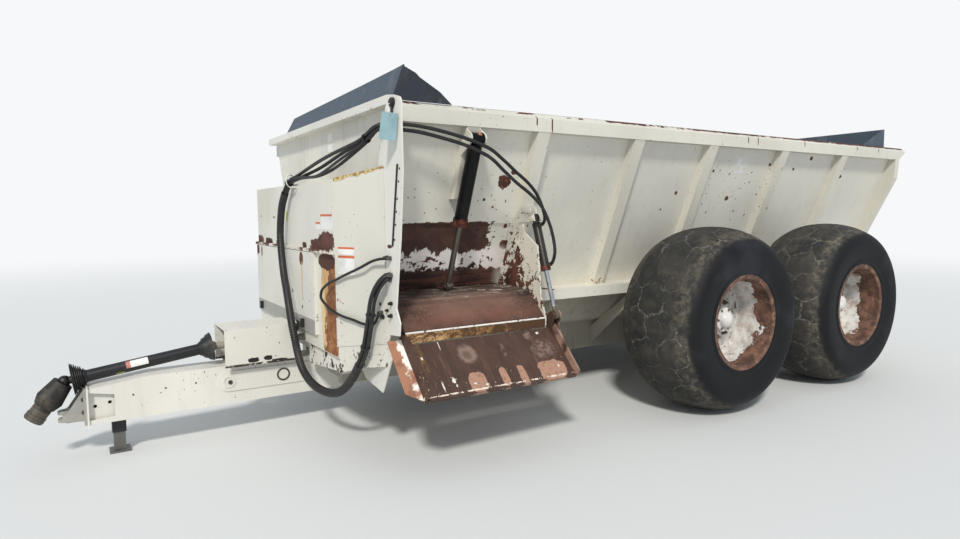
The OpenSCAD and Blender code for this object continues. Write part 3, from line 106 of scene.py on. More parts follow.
class Finish:
    """A procedural material whose layers lie over each other, in the model's own coordinates.

    A colour of three values is an 8-bit display colour, and one of four is linear.
    """

    def __init__(self, name, color, rough, metal=0.0):
        self.material = bpy.data.materials.new(name)
        self.material.use_nodes = True
        self.tree = self.material.node_tree
        self.shader = self.tree.nodes["Principled BSDF"]
        self.where = self.tree.nodes.new("ShaderNodeTexCoord").outputs["Object"]
        split = self.tree.nodes.new("ShaderNodeSeparateXYZ")
        self.put(split.inputs[0], self.where)
        self.x, self.y, self.z = split.outputs
        self.color, self.rough, self.metal, self.height = color, rough, metal, None

    def put(self, socket, value):
        if isinstance(value, bpy.types.NodeSocket):
            self.tree.links.new(value, socket)
        elif isinstance(value, tuple) and len(value) == 3:
            socket.default_value = linear(value)
        else:
            socket.default_value = value

    def math(self, operation, a, b=0.0, c=0.0):
        node = self.tree.nodes.new("ShaderNodeMath")
        node.operation = operation
        for socket, value in zip(node.inputs, (a, b, c)):
            self.put(socket, value)
        return node.outputs[0]

    def plus(self, a, b):
        return self.math("ADD", a, b)

    def minus(self, a, b):
        return self.math("SUBTRACT", a, b)

    def times(self, first, *others):
        """The product of numbers and masks: 1 where every mask is 1."""
        for other in others:
            first = self.math("MULTIPLY", first, other)
        return first

    def noise(self, scale, detail, rough, stretch=(1, 1, 1), shift=(0, 0, 0)):
        placed = self.tree.nodes.new("ShaderNodeMapping")
        self.put(placed.inputs["Vector"], self.where)
        placed.inputs["Scale"].default_value = stretch
        placed.inputs["Location"].default_value = shift
        node = self.tree.nodes.new("ShaderNodeTexNoise")
        self.put(node.inputs["Vector"], placed.outputs[0])
        for label, value in (("Scale", scale), ("Detail", detail), ("Roughness", rough)):
            node.inputs[label].default_value = value
        return node.outputs["Fac"]

    def wobble(self, swing, scale, detail, rough, **place):
        """A noise that goes about as far below 0 as above it; swing is its whole width."""
        return self.times(self.minus(self.noise(scale, detail, rough, **place), 0.5), swing)

    def blotch(self, scale, detail, rough, low, high, **place):
        """0 where a noise is up to low, and 1 from high."""
        return self.step(self.noise(scale, detail, rough, **place), low, high)

    def honeycomb(self, across, along):
        """How far inside its hexagon a place is: 0 at the borders and a half in the middle."""
        tall = 3 ** 0.5

        def fold(value, period):
            shifted = self.math("FLOORED_MODULO", self.plus(value, period / 2), period)
            return self.math("ABSOLUTE", self.minus(shifted, period / 2))

        def inside(a, b):
            slanted = self.plus(self.times(a, 0.5), self.times(b, tall / 2))
            return self.minus(0.5, self.math("MAXIMUM", a, slanted))
        here = inside(fold(across, 1.0), fold(along, tall))
        beside = inside(fold(self.plus(across, 0.5), 1.0), fold(self.plus(along, tall / 2), tall))
        return self.math("MAXIMUM", here, beside)

    def flakes(self, bias, grain=16.0, shift=(0, 0, 0)):
        """1 where paint has flaked off; bias 0 bares a few spots, and a higher one more."""
        coarse = self.noise(grain, 6, 0.68, shift=shift)
        fine = self.noise(grain * 3.1, 4, 0.6, shift=(shift[1] + 2, shift[0], 4))
        torn = self.plus(self.times(coarse, 0.7), self.times(fine, 0.3))
        return self.step(self.plus(torn, bias), 0.595, 0.615)

    def ramp(self, value, low, high):
        """0 at low and 1 at high, straight between them and level beyond."""
        share = self.math("DIVIDE", self.minus(value, low), high - low)
        return self.math("MINIMUM", self.math("MAXIMUM", share, 0.0), 1.0)

    def attribute(self, name):
        node = self.tree.nodes.new("ShaderNodeAttribute")
        node.attribute_name = name
        return node.outputs["Fac"]

    def step(self, value, low, high):
        """0 up to low, 1 from high, smooth between them; low may be above high."""
        node = self.tree.nodes.new("ShaderNodeMapRange")
        node.interpolation_type = "SMOOTHSTEP"
        self.put(node.inputs["Value"], value)
        node.inputs["From Min"].default_value = min(low, high)
        node.inputs["From Max"].default_value = max(low, high)
        node.inputs["To Min"].default_value = float(low > high)
        node.inputs["To Max"].default_value = float(low < high)
        return node.outputs["Result"]

    def mixed(self, share, a, b):
        """Colour a where share is 0 and b where it is 1."""
        node = self.tree.nodes.new("ShaderNodeMix")
        node.data_type = "RGBA"
        self.put(node.inputs[0], share)
        self.put(node.inputs[6], a)
        self.put(node.inputs[7], b)
        return node.outputs[2]

    def tones(self, a, b, *noise, **place):
        """Colour a with blotches of colour b."""
        return self.mixed(self.blotch(*noise, **place), a, b)

    def between(self, share, a, b):
        """Number a where share is 0 and b where it is 1."""
        node = self.tree.nodes.new("ShaderNodeMix")
        self.put(node.inputs[0], share)
        self.put(node.inputs[2], a)
        self.put(node.inputs[3], b)
        return node.outputs[0]

    def region(self, centre, half, ragged=0.3, grain=None, soft=0.03, power=2.6):
        """1 inside a rounded box with ragged edges. A half of None leaves that direction open."""
        far = None
        for place, middle, reach in zip((self.x, self.y, self.z), centre, half):
            if reach is None:
                continue
            away = self.math("ABSOLUTE", self.minus(place, middle))
            away = self.math("POWER", self.math("DIVIDE", away, reach), power)
            far = away if far is None else self.plus(far, away)
        far = self.math("POWER", far, 1 / power)
        shift = tuple(3.7 * c for c in centre)
        if grain is None:
            grain = 0.9 / min(h for h in half if h)
        torn = self.wobble(4 * ragged, grain, 5, 0.65, shift=shift)
        return self.step(self.plus(far, torn), 1 + soft, 1 - soft)

    def layer(self, color, rough, *shares, metal=None, rise=0.0):
        """Lays a finish over the ones below, as far as all shares go; rise is its height in metres."""
        share = self.times(*shares)
        self.color = self.mixed(share, self.color, color)
        if rough is not None:
            self.rough = self.between(share, self.rough, rough)
        if metal is not None:
            self.metal = self.between(share, self.metal, metal)
        if rise:
            self.lift(share, rise)

    def lift(self, *factors):
        """Raises the surface by the product of the factors, in metres."""
        height = self.times(*factors)
        self.height = height if self.height is None else self.plus(self.height, height)

    def done(self):
        self.put(self.shader.inputs["Base Color"], self.color)
        self.put(self.shader.inputs["Roughness"], self.rough)
        self.put(self.shader.inputs["Metallic"], self.metal)
        if self.height is not None:
            bump = self.tree.nodes.new("ShaderNodeBump")
            bump.inputs["Distance"].default_value = 1.0
            self.put(bump.inputs["Height"], self.height)
            self.put(self.shader.inputs["Normal"], bump.outputs[0])
        return self.material


CREAM = (226, 223, 211)
PRIMER = (236, 232, 222)
DIRT = (122, 112, 92)
RUST_DARK = (66, 38, 30)
RUST_RED = (104, 62, 50)
RUST_ORANGE = (150, 92, 52)
BLACK_CHIP = (34, 28, 26)


def rust_color(f, dark=RUST_DARK, red=RUST_RED, orange=RUST_ORANGE, warm=0.5):
    """Mottled rust between three tones; warm is how much of the last one shows."""
    tone = f.mixed(f.blotch(7, 6, 0.65, 0.35, 0.66), dark, red)
    return f.mixed(f.blotch(19, 5, 0.7, 0.72 - 0.3 * warm, 0.86 - 0.3 * warm, shift=(3, 1, 7)), tone, orange)


def worn_paint(name, base=CREAM, grime=0.25, chips=0.5, torn=(), extra=None):
    """Paint with grime, streaks and chips. torn are rusty places: centre, half size, raggedness."""
    f = Finish(name, base, 0.42)
    f.layer(linear(base, 0.86), None, f.blotch(1.1, 3, 0.5, 0.35, 0.75))
    dust = f.blotch(5, 6, 0.7, 0.5, 0.8, stretch=(3, 3, 0.35))
    f.layer(DIRT, 0.62, dust, grime)
    smudge = f.blotch(2.3, 5, 0.6, 0.52, 0.75, shift=(5, 2, 1))
    f.layer((160, 152, 132), 0.55, smudge, grime * 0.5)
    speck = f.times(f.blotch(60, 2, 0.5, 0.745 - 0.05 * chips, 0.765 - 0.05 * chips, shift=(1, 4, 2)),
                    f.blotch(2.0, 2, 0.5, 0.42, 0.56, shift=(8, 3, 5)))
    f.layer(BLACK_CHIP, 0.8, speck, rise=-0.0004)
    bare = None
    for place in torn:
        patch = f.region(*place)
        bare = patch if bare is None else f.math("MAXIMUM", bare, patch)
    if bare is not None:
        f.layer(PRIMER, 0.6, f.step(bare, 0.0, 0.6))
        f.layer(rust_color(f), 0.82, f.step(bare, 0.55, 0.75), rise=-0.0006)
        f.lift(f.noise(90, 4, 0.6), bare, 0.0006)
    if extra is not None:
        extra(f)
    f.lift(f.noise(260, 2, 0.5), 0.00003)
    return f.done()


def plain_finish(name, color, rough, metal=0.0, dusty=0.3, grain=220, rise=0.00008, dust=DIRT, extra=None):
    """One worn tone with dust in its hollows: painted steel, rubber or bare metal."""
    f = Finish(name, color, rough, metal)
    f.layer(linear(color, 0.72), None, f.blotch(6, 5, 0.6, 0.42, 0.7))
    f.layer(dust, min(1.0, rough + 0.2), f.blotch(9, 6, 0.7, 0.48, 0.78, shift=(2, 6, 3)), dusty)
    if extra is not None:
        extra(f)
    f.lift(f.noise(grain, 3, 0.6), rise)
    return f.done()


def rusty_finish(name, warm=0.3, dark=RUST_DARK, red=RUST_RED, orange=RUST_ORANGE, rough=0.72, extra=None,
                 polish=None):
    """Bare steel that has rusted all over."""
    f = Finish(name, (86, 56, 46), rough)
    f.color = rust_color(f, dark, red, orange, warm)
    if polish:
        f.layer(polish, 0.5, f.blotch(3.2, 4, 0.55, 0.45, 0.72, shift=(1, 9, 4)), 0.6)
    f.layer(dark, 0.9, f.blotch(70, 3, 0.6, 0.6, 0.75, shift=(4, 4, 1)), 0.5)
    if extra is not None:
        extra(f)
    f.lift(f.noise(120, 5, 0.7), 0.0005)
    f.lift(f.noise(17, 4, 0.6), 0.0012)
    return f.done()


# Mesh helpers

def linked(name, data, finish=None):
    """A new object in the scene, from a mesh, a camera or a light."""
    if finish:
        data.materials.append(finish)
    thing = bpy.data.objects.new(name, data)
    bpy.context.scene.collection.objects.link(thing)
    return thing


class Shape:
    """Points and faces of one piece, gathered from simple closed parts."""

    def __init__(self):
        self.points, self.faces = [], []

    def add(self, points, faces):
        start = len(self.points)
        self.points += [Vector(p) for p in points]
        self.faces += [[start + i for i in q] for q in faces]
        return self

    def box(self, low, high):
        x, y, z = zip(low, high)
        points = [(x[i], y[j], z[k]) for i in (0, 1) for j in (0, 1) for k in (0, 1)]
        faces = [(0, 1, 3, 2), (4, 6, 7, 5), (0, 4, 5, 1), (2, 3, 7, 6), (0, 2, 6, 4), (1, 5, 7, 3)]
        return self.add(points, faces)

    def prism(self, outline, push):
        """A flat outline of points pushed along a vector."""
        n = len(outline)
        outline = [Vector(p) for p in outline]
        points = outline + [p + Vector(push) for p in outline]
        sides = [(i, (i + 1) % n, n + (i + 1) % n, n + i) for i in range(n)]
        return self.add(points, [list(range(n))[::-1], list(range(n, 2 * n))] + sides)

    def lathe(self, profile, at, axis, sides=32):
        """Turns (distance along, radius) pairs round an axis from a point."""
        axis = Vector(axis).normalized()
        one = axis.orthogonal().normalized()
        two = axis.cross(one)
        rings = []
        points = []
        for along, radius in profile:
            if radius < 1e-6:
                rings.append([len(points)])
                points.append(Vector(at) + along * axis)
                continue
            rings.append(list(range(len(points), len(points) + sides)))
            for k in range(sides):
                turn = 2 * math.pi * k / sides
                out = math.cos(turn) * one + math.sin(turn) * two
                points.append(Vector(at) + along * axis + radius * out)
        faces = []
        for a, b in zip(rings, rings[1:]):
            if len(a) == 1 and len(b) == 1:
                continue
            for k in range(sides):
                m = (k + 1) % sides
                if len(a) == 1:
                    faces.append((a[0], b[m], b[k]))
                elif len(b) == 1:
                    faces.append((a[k], a[m], b[0]))
                else:
                    faces.append((a[k], a[m], b[m], b[k]))
        for ring, flip in ((rings[0], 1), (rings[-1], -1)):
            if len(ring) > 1:
                faces.append(ring[::flip])
        return self.add(points, faces)

    def bolt(self, at, axis, size, thick, washer=1.5):
        """A hexagon head on a washer, standing on a surface at a point."""
        flat = size / math.cos(math.pi / 6)
        self.lathe([(0, size * washer), (0.002, size * washer)], at, axis, 16)
        top = Vector(at) + 0.002 * Vector(axis).normalized()
        return self.lathe([(0, flat), (thick * 0.8, flat), (thick, flat * 0.86)], top, axis, 6)

    def stud(self, at, axis, radius, tall):
        """A round rivet or pin head."""
        r = radius
        profile = [(0, r), (tall * 0.4, r), (tall * 0.8, r * 0.75), (tall, r * 0.3), (tall, 0)]
        return self.lathe(profile, at, axis, 12)

    def tube(self, path, radius, sides=12):
        """A tube along a path of points; radius may be a function of the distance along it."""
        path = [Vector(p) for p in path]
        n = len(path)
        along = [0.0]
        for a, b in zip(path, path[1:]):
            along.append(along[-1] + (b - a).length)
        headings = [(path[min(i + 1, n - 1)] - path[max(i - 1, 0)]).normalized() for i in range(n)]
        side = headings[0].orthogonal().normalized()
        turns = [2 * math.pi * k / sides for k in range(sides)]
        points = []
        for p, t, s in zip(path, headings, along):
            side = (side - side.dot(t) * t).normalized()
            other = t.cross(side)
            r = radius(s) if callable(radius) else radius
            points += [p + r * (math.cos(turn) * side + math.sin(turn) * other) for turn in turns]
        faces = []
        for here in range(0, (n - 1) * sides, sides):
            for k in range(sides):
                m = (k + 1) % sides
                faces.append((here + k, here + m, here + sides + m, here + sides + k))
        faces.append(list(range(sides))[::-1])
        faces.append(list(range((n - 1) * sides, n * sides)))
        return self.add(points, faces)

    def piece(self, name, body, slot, finish, smooth=35.0):
        """Makes the piece, riding on a body. smooth is the least angle of a sharp edge, in degrees."""
        mesh = bpy.data.meshes.new(name)
        mesh.from_pydata([tuple(p) for p in self.points], [], [tuple(q) for q in self.faces])
        mesh.validate()
        work = bmesh.new()
        work.from_mesh(mesh)
        bmesh.ops.recalc_face_normals(work, faces=work.faces)
        work.to_mesh(mesh)
        work.free()
        mesh.shade_smooth()
        mesh.set_sharp_from_angle(angle=math.radians(smooth))
        piece = linked(name, mesh, finish)
        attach(piece, body)
        return piece


def smooth_path(points, step=0.012):
    """Points of a smooth curve through the given ones, about a step apart."""
    p = [Vector(q) for q in points]
    p = [2 * p[0] - p[1]] + p + [2 * p[-1] - p[-2]]
    made = []
    for a, b, c, d in zip(p, p[1:], p[2:], p[3:]):
        count = max(2, round((c - b).length / step))
        for i in range(count):
            t = i / count
            made.append(0.5 * ((2 * b) + (c - a) * t + (2 * a - 5 * b + 4 * c - d) * t * t
                               + (3 * b - a - 3 * c + d) * t ** 3))
    return made + [p[-2]]


def dress(nodes, finish):
    """Gives construction nodes their finish."""
    for node in nodes:
        mesh = NODES[node].data
        mesh.materials.clear()
        mesh.materials.append(finish)
        mesh.shade_smooth()
        mesh.set_sharp_from_angle(angle=math.radians(32))


# Stage

def add_stage():
    scene = bpy.context.scene
    scene.view_settings.view_transform = "Standard"
    yaw, pitch, roll = (math.radians(a) for a in (CAMERA_YAW, CAMERA_PITCH, CAMERA_ROLL))
    forward = Vector((math.cos(yaw) * math.cos(pitch), math.sin(yaw) * math.cos(pitch), math.sin(pitch)))
    right = Vector((math.sin(yaw), -math.cos(yaw), 0))
    up = right.cross(forward)
    right, up = (right * math.cos(roll) + up * math.sin(roll), up * math.cos(roll) - right * math.sin(roll))
    data = bpy.data.cameras.new("camera")
    data.lens, data.sensor_width = CAMERA_LENS, CAMERA_SENSOR
    camera = linked("camera", data)
    camera.matrix_world = Matrix.Translation(CAMERA_AT) @ Matrix((right, up, -forward)).transposed().to_4x4()
    scene.camera = camera

    world = bpy.data.worlds.new("studio")
    world.use_nodes = True
    scene.world = world
    tree = world.node_tree
    tree.nodes.clear()
    rays = tree.nodes.new("ShaderNodeLightPath")
    seen = tree.nodes.new("ShaderNodeMath")
    seen.operation = "MAXIMUM"
    tree.links.new(rays.outputs["Is Camera Ray"], seen.inputs[0])
    tree.links.new(rays.outputs["Is Transmission Ray"], seen.inputs[1])
    mix = tree.nodes.new("ShaderNodeMixShader")
    tree.links.new(seen.outputs[0], mix.inputs[0])
    for slot, color, strength in ((1, FILL_COLOR, FILL_STRENGTH), (2, BACKDROP_COLOR, 1.0)):
        light = tree.nodes.new("ShaderNodeBackground")
        light.inputs[0].default_value = color
        light.inputs[1].default_value = strength
        tree.links.new(light.outputs[0], mix.inputs[slot])
    output = tree.nodes.new("ShaderNodeOutputWorld")
    tree.links.new(mix.outputs[0], output.inputs[0])

    sun = bpy.data.lights.new("key", "SUN")
    sun.energy, sun.angle, sun.color = SUN_STRENGTH, math.radians(SUN_ANGLE), SUN_COLOR
    key = linked("key", sun)
    key.rotation_mode = "QUATERNION"
    key.rotation_quaternion = Vector(SUN_FROM).to_track_quat("Z", "Y")

    floor_mesh = bpy.data.meshes.new("floor")
    reach = FLOOR_REACH
    corners = [(-reach, -reach, 0), (reach, -reach, 0), (reach, reach, 0), (-reach, reach, 0)]
    floor_mesh.from_pydata(corners, [], [(0, 1, 2, 3)])
    pale = Finish("pale floor", (0.72, 0.73, 0.72, 1), 0.9)
    away = pale.tree.nodes.new("ShaderNodeVectorMath")
    away.operation = "LENGTH"
    pale.put(away.inputs[0], pale.where)
    clear = pale.tree.nodes.new("ShaderNodeBsdfTransparent")
    fade = pale.tree.nodes.new("ShaderNodeMixShader")
    pale.put(fade.inputs[0], pale.step(away.outputs["Value"], *FLOOR_FADE))
    pale.tree.links.new(pale.shader.outputs[0], fade.inputs[1])
    pale.tree.links.new(clear.outputs[0], fade.inputs[2])
    pale.tree.links.new(fade.outputs[0], pale.tree.nodes["Material Output"].inputs["Surface"])
    floor = linked("floor", floor_mesh, pale.done())


add_stage()


# Hoses, along the construction's routes

BUNDLE_ROUTE = [
    (-2.0283, -1.236, 2.002), (-2.052, -1.236, 2.002), (-2.074, -1.206, 1.988), (-2.084, -1.130, 1.955),
    (-2.098, -1.027, 1.919), (-2.125, -0.779, 1.873), (-2.155, -0.492, 1.829), (-2.180, -0.250, 1.793),
    (-2.203, -0.110, 1.764), (-2.224, -0.031, 1.745), (-2.235, 0.024, 1.700), (-2.241, 0.080, 1.636),
    (-2.246, 0.132, 1.558), (-2.250, 0.164, 1.433), (-2.252, 0.170, 1.322), (-2.258, 0.124, 1.190),
    (-2.268, 0.049, 1.070), (-2.280, -0.047, 0.970), (-2.292, -0.140, 0.866), (-2.300, -0.225, 0.747),
    (-2.292, -0.260, 0.642), (-2.278, -0.275, 0.540), (-2.267, -0.330, 0.450), (-2.255, -0.450, 0.390),
    (-2.235, -0.592, 0.362), (-2.208, -0.722, 0.362), (-2.185, -0.835, 0.393), (-2.165, -0.925, 0.455),
    (-2.146, -1.031, 0.567), (-2.130, -1.129, 0.711), (-2.120, -1.190, 0.892), (-2.112, -1.215, 1.000),
    (-2.100, -1.248, 1.072), (-2.080, -1.278, 1.122), (-2.054, -1.292, 1.147), (-2.0283, -1.292, 1.147),
]
THIN_ROUTE = [
    (-2.0283, -1.297, 1.254), (-2.050, -1.297, 1.254), (-2.075, -1.250, 1.250), (-2.096, -1.172, 1.232),
    (-2.135, -1.091, 1.192), (-2.175, -0.947, 1.140), (-2.202, -0.876, 1.109), (-2.220, -0.790, 1.082),
    (-2.229, -0.690, 1.036), (-2.231, -0.658, 1.000), (-2.231, -0.668, 0.966), (-2.219, -0.780, 0.919),
    (-2.191, -0.900, 0.888), (-2.150, -0.998, 0.870), (-2.122, -1.066, 0.855), (-2.097, -1.115, 0.850),
    (-2.080, -1.155, 0.862), (-2.078, -1.190, 0.890), (-2.076, -1.207, 0.918), (-2.065, -1.203, 0.930),
    (-2.0462, -1.1946, 0.930),
]
PANEL_OUT = Vector((-0.925, -0.380, 0))     # outward from the corner panel, where the thin hose ends
LIP_TOP, LIP_EYE = Vector((-0.872, -1.13475, 1.474)), Vector((-0.872, -1.35573, 0.83486))
LIP_DIR = (LIP_EYE - LIP_TOP).normalized()
LIP_OUT = Vector((0, LIP_DIR.z, -LIP_DIR.y))
LIP_PORTS = (0.064, 0.345)
PORT_OUT = 0.0453
UPPER_ROUTE = [
    (-2.0197, -1.330, 2.012), (-1.960, -1.330, 2.012), (-1.860, -1.335, 2.008), (-1.740, -1.350, 1.990),
    (-1.600, -1.385, 1.955), (-1.500, -1.395, 1.925), (-1.400, -1.395, 1.890), (-1.280, -1.360, 1.830),
    (-1.160, -1.320, 1.765), (-1.050, -1.290, 1.705), (-0.970, -1.272, 1.640), (-0.915, -1.262, 1.560),
    (-0.882, -1.252, 1.490), (-0.872, -1.236, 1.452),
]
LOWER_ROUTE = [
    (-2.0197, -1.330, 1.980), (-1.960, -1.330, 1.980), (-1.860, -1.335, 1.974), (-1.740, -1.350, 1.952),
    (-1.600, -1.385, 1.915), (-1.500, -1.395, 1.880), (-1.400, -1.395, 1.838), (-1.280, -1.362, 1.765),
    (-1.160, -1.330, 1.695), (-1.050, -1.318, 1.630), (-0.960, -1.320, 1.550), (-0.910, -1.332, 1.450),
    (-0.885, -1.350, 1.340), (-0.874, -1.352, 1.255), (-0.872, -1.334, 1.196),
]
FREE_RUN = 1.24      # length of the bundle between the post and the ring
TAIL_RUN = 0.75      # length in which the strands spread a little before the bundle's end
STRAND_OUT, TAIL_OUT = 0.0125, 0.006        # distance of the strands from the middle, and more in the tail
SLEEVE_AFTER, SLEEVE_BEFORE = 0.15, 0.62    # where the sleeve starts after the ring and stops before the end
SLEEVE_R, SLEEVE_RIB, SLEEVE_PITCH = 0.0262, 0.0013, 0.018
# strands: radius, start angle, spread, and sag where they hang free between the post and the ring
STRANDS = ((0.0115, 0.3, 0.034, 0.0), (0.0115, 2.0, 0.036, 0.006), (0.0105, 3.6, 0.026, 0.04),
           (0.009, 5.1, 0.03, 0.062))
THIN_R, SIDE_R = 0.0085, 0.011


def hose_end(shape, at, axis, start, step, end, wide, narrow):
    """A hexagon fitting with a narrower hexagon before it."""
    shape.lathe([(start, wide), (step, wide), (step, narrow), (end, narrow)], at, axis, 6)


def add_hoses():
    rubber = plain_finish("hose rubber", (28, 28, 29), 0.45, dusty=0.35, grain=500, dust=(86, 82, 74))
    steel = plain_finish("hose fittings", (112, 110, 104), 0.4, 0.8, dusty=0.5)
    line = smooth_path(BUNDLE_ROUTE)
    along = [0.0]
    for a, b in zip(line, line[1:]):
        along.append(along[-1] + (b - a).length)
    total = along[-1]
    side = Vector((1, 0, 0))
    frames = []
    for i, p in enumerate(line):
        t = (line[min(i + 1, len(line) - 1)] - line[max(i - 1, 0)]).normalized()
        side = (side - side.dot(t) * t).normalized()
        frames.append((p, side.copy(), t.cross(side)))
    bundle = Shape()
    for radius, start, spread, sag in STRANDS:
        path = []
        for (p, u, v), s in zip(frames, along):
            loose = math.sin(math.pi * s / FREE_RUN) ** 2 if s < FREE_RUN else 0.0
            tail = max(0.0, (s - total + TAIL_RUN) / TAIL_RUN)
            out = STRAND_OUT + spread * loose * 0.55 + TAIL_OUT * math.sin(math.pi * tail)
            turn = start + 1.1 * s + 0.25 * math.sin(5 * s + start)
            low = sag * math.sin(math.pi * (s / FREE_RUN) ** 1.5) ** 2 if s < FREE_RUN else 0.0
            path.append(p + out * (math.cos(turn) * u + math.sin(turn) * v) - Vector((0, 0, low)))
        bundle.tube(path, radius, 12)
    hoses = bundle.piece("front_hoses", "root", "hose_rubber", rubber)
    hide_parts("hoses_front")
    # a ribbed sleeve holds the strands together below the ring
    start = next(i for i, s in enumerate(along) if s > FREE_RUN + SLEEVE_AFTER)
    stop = next(i for i, s in enumerate(along) if s > total - SLEEVE_BEFORE)
    fine = smooth_path(line[start:stop:4], 0.0045)
    sleeve = Shape().tube(fine,
                          lambda s: SLEEVE_R + SLEEVE_RIB * math.cos(2 * math.pi * s / SLEEVE_PITCH), 18)
    sleeve.piece("hose_sleeve", "root", "hose_rubber", rubber, smooth=60)
    thin = Shape().tube(smooth_path(THIN_ROUTE, 0.01), THIN_R, 12)
    thin.piece("thin_hose", "root", "hose_rubber", rubber)
    ties = Shape()
    for s0 in (0.16, FREE_RUN + 0.06, total - 0.5, total - 0.3):
        i = next(k for k, s in enumerate(along) if s > s0)
        p, u, v = frames[i]
        ties.lathe([(-0.006, 0.024), (-0.006, 0.03), (0.006, 0.03), (0.006, 0.024)], p, u.cross(v), 24)
    ties.piece("hose_ties", "root", "hose_rubber", rubber)

    pair = Shape()
    for route, s in ((UPPER_ROUTE, LIP_PORTS[0]), (LOWER_ROUTE, LIP_PORTS[1])):
        end = LIP_TOP + s * LIP_DIR + PORT_OUT * LIP_OUT
        pair.tube(smooth_path(route + [end + 0.022 * LIP_OUT, end]), SIDE_R, 12)
    mesh = bpy.data.meshes.new("side_hoses")
    mesh.from_pydata([tuple(p) for p in pair.points], [], pair.faces)
    mesh.shade_smooth()
    loose_end = linked("side_hoses", mesh, rubber)
    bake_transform(loose_end)
    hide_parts("hoses_side")

    ends, ports = Shape(), Shape()
    for p in (BUNDLE_ROUTE[0], BUNDLE_ROUTE[-1]):
        for dy, dz in ((0.014, 0.012), (-0.014, 0.01), (0.0, -0.016)):
            hose_end(ends, Vector(p) + Vector((0, dy, dz)), (-1, 0, 0), -0.004, 0.012, 0.034, 0.016, 0.012)
    for p, out in ((THIN_ROUTE[0], (-1, 0, 0)), (THIN_ROUTE[-1], PANEL_OUT)):
        hose_end(ends, p, out, -0.004, 0.01, 0.03, 0.014, 0.0115)
    for p in (UPPER_ROUTE[0], LOWER_ROUTE[0]):
        hose_end(ends, p, (1, 0, 0), -0.002, 0.012, 0.045, 0.017, 0.013)
    ends.piece("hose_fittings", "root", "bare_steel", steel, smooth=30)
    for s in LIP_PORTS:
        end = LIP_TOP + s * LIP_DIR + (PORT_OUT - 0.012) * LIP_OUT
        hose_end(ports, end, LIP_OUT, 0, 0.012, 0.036, 0.016, 0.0135)
    ports.piece("lip_cylinder_fittings", "lip_barrel", "bare_steel", steel, smooth=30)


add_hoses()


# Wheels

TREAD_CELLS = 22                   # rows of hexagons round a tyre, two to a period
TURNS, ARC_STEPS = 330, 92         # points round a tyre, and steps from one side over the tread to the other
BELLY_R = 0.53                     # radius at which a tyre is widest
TREAD_REACH = 0.36                 # how far from the middle the grooves go, along the profile
GROOVE_DEPTH, GROOVE_HALF = 0.0035, 0.075   # the second in cell widths
SHOULDER = 0.27                    # distance of the scuffed shoulders from the middle
# beads and inner wall: distance across, radius
BEAD = ((-0.313, 0.333), (-0.318, 0.345), (-0.33, 0.362), (-0.334, 0.378), (-0.328, 0.388),
        (-0.332, 0.405), (-0.34, 0.437), (-0.3465, 0.47), (-0.3495, 0.5))
INSIDE = ((-0.285, 0.333), (-0.3, 0.405), (-0.316, 0.47), (-0.322, 0.53), (-0.25, 0.62), (0.0, 0.672),
          (0.25, 0.62), (0.322, 0.53), (0.316, 0.47), (0.3, 0.405), (0.285, 0.333))
# hub cap: distance out from the hub's face, radius
HUB_CAP = ((-0.006, 0.092), (0.004, 0.092), (0.01, 0.088), (0.012, 0.066), (0.03, 0.063), (0.044, 0.054),
           (0.054, 0.036), (0.058, 0.016), (0.058, 0))
HUB_FACE = TRACK_HALF + 0.13
# fastenings of a wheel: how many, first turn in steps, radius of their circle, distance from the hub's face
WHEEL_NUTS, HUB_SCREWS = (10, 0.5, 0.142, -0.0665), (6, 0, 0.077, 0.01)


def hexagons(around, across):
    """How far inside its hexagon each place of the tread is, for arrays in cell widths."""
    tall = 3 ** 0.5

    def inside(a, b):
        a, b = np.abs((a + 0.5) % 1.0 - 0.5), np.abs((b + tall / 2) % tall - tall / 2)
        return 0.5 - np.maximum(a, 0.5 * a + tall / 2 * b)
    return np.maximum(inside(across, around), inside(across + 0.5, around + tall / 2))


def tyre_finish():
    f = Finish("worn tyre", (42, 43, 43), 0.8)
    tread = f.attribute("tread")
    worn = f.blotch(3.5, 5, 0.65, 0.4, 0.62, shift=(2, 0, 6))
    f.layer((58, 57, 54), 0.85, worn, tread)
    f.shader.inputs["Specular IOR Level"].default_value = 0.3
    f.layer((13, 15, 19), 0.62, f.step(tread, 0.55, 0.05))
    dust = f.times(f.blotch(7, 6, 0.72, 0.46, 0.7), f.step(tread, 0.15, 0.7))
    f.layer((92, 86, 75), 0.9, dust, 0.5)
    shoulder = f.times(f.step(f.attribute("shoulder"), 0.1, 0.9), f.blotch(20, 6, 0.78, 0.42, 0.66))
    f.layer((118, 110, 95), 0.9, shoulder, 0.62)
    wobble = f.wobble(0.62, 11, 5, 0.7)
    other = f.wobble(0.62, 11, 5, 0.7, shift=(7, 3, 1))
    inside = f.honeycomb(f.plus(f.attribute("across"), wobble), f.plus(f.attribute("around"), other))
    line = f.step(f.plus(inside, f.times(f.noise(45, 4, 0.7), 0.06)), 0.06, 0.026)
    seen = f.times(f.step(tread, 0.25, 0.7), f.blotch(3.4, 5, 0.6, 0.36, 0.56, shift=(1, 5, 2)))
    f.layer((140, 136, 124), 0.9, line, seen, 0.62, rise=0.0008)
    rim_wear = f.times(f.blotch(30, 6, 0.75, 0.56, 0.72, shift=(3, 3, 3)), f.step(tread, 0.3, 0.9))
    f.layer((126, 119, 104), 0.9, rim_wear, 0.35)
    scuff = f.times(f.blotch(3, 3, 0.5, 0.5, 0.7, shift=(4, 0, 0)), f.step(tread, 0.5, 0.0))
    f.layer((52, 54, 60), 0.6, scuff, 0.35)
    f.lift(f.noise(60, 6, 0.75), f.between(tread, 0.0004, 0.003))
    return f.done()


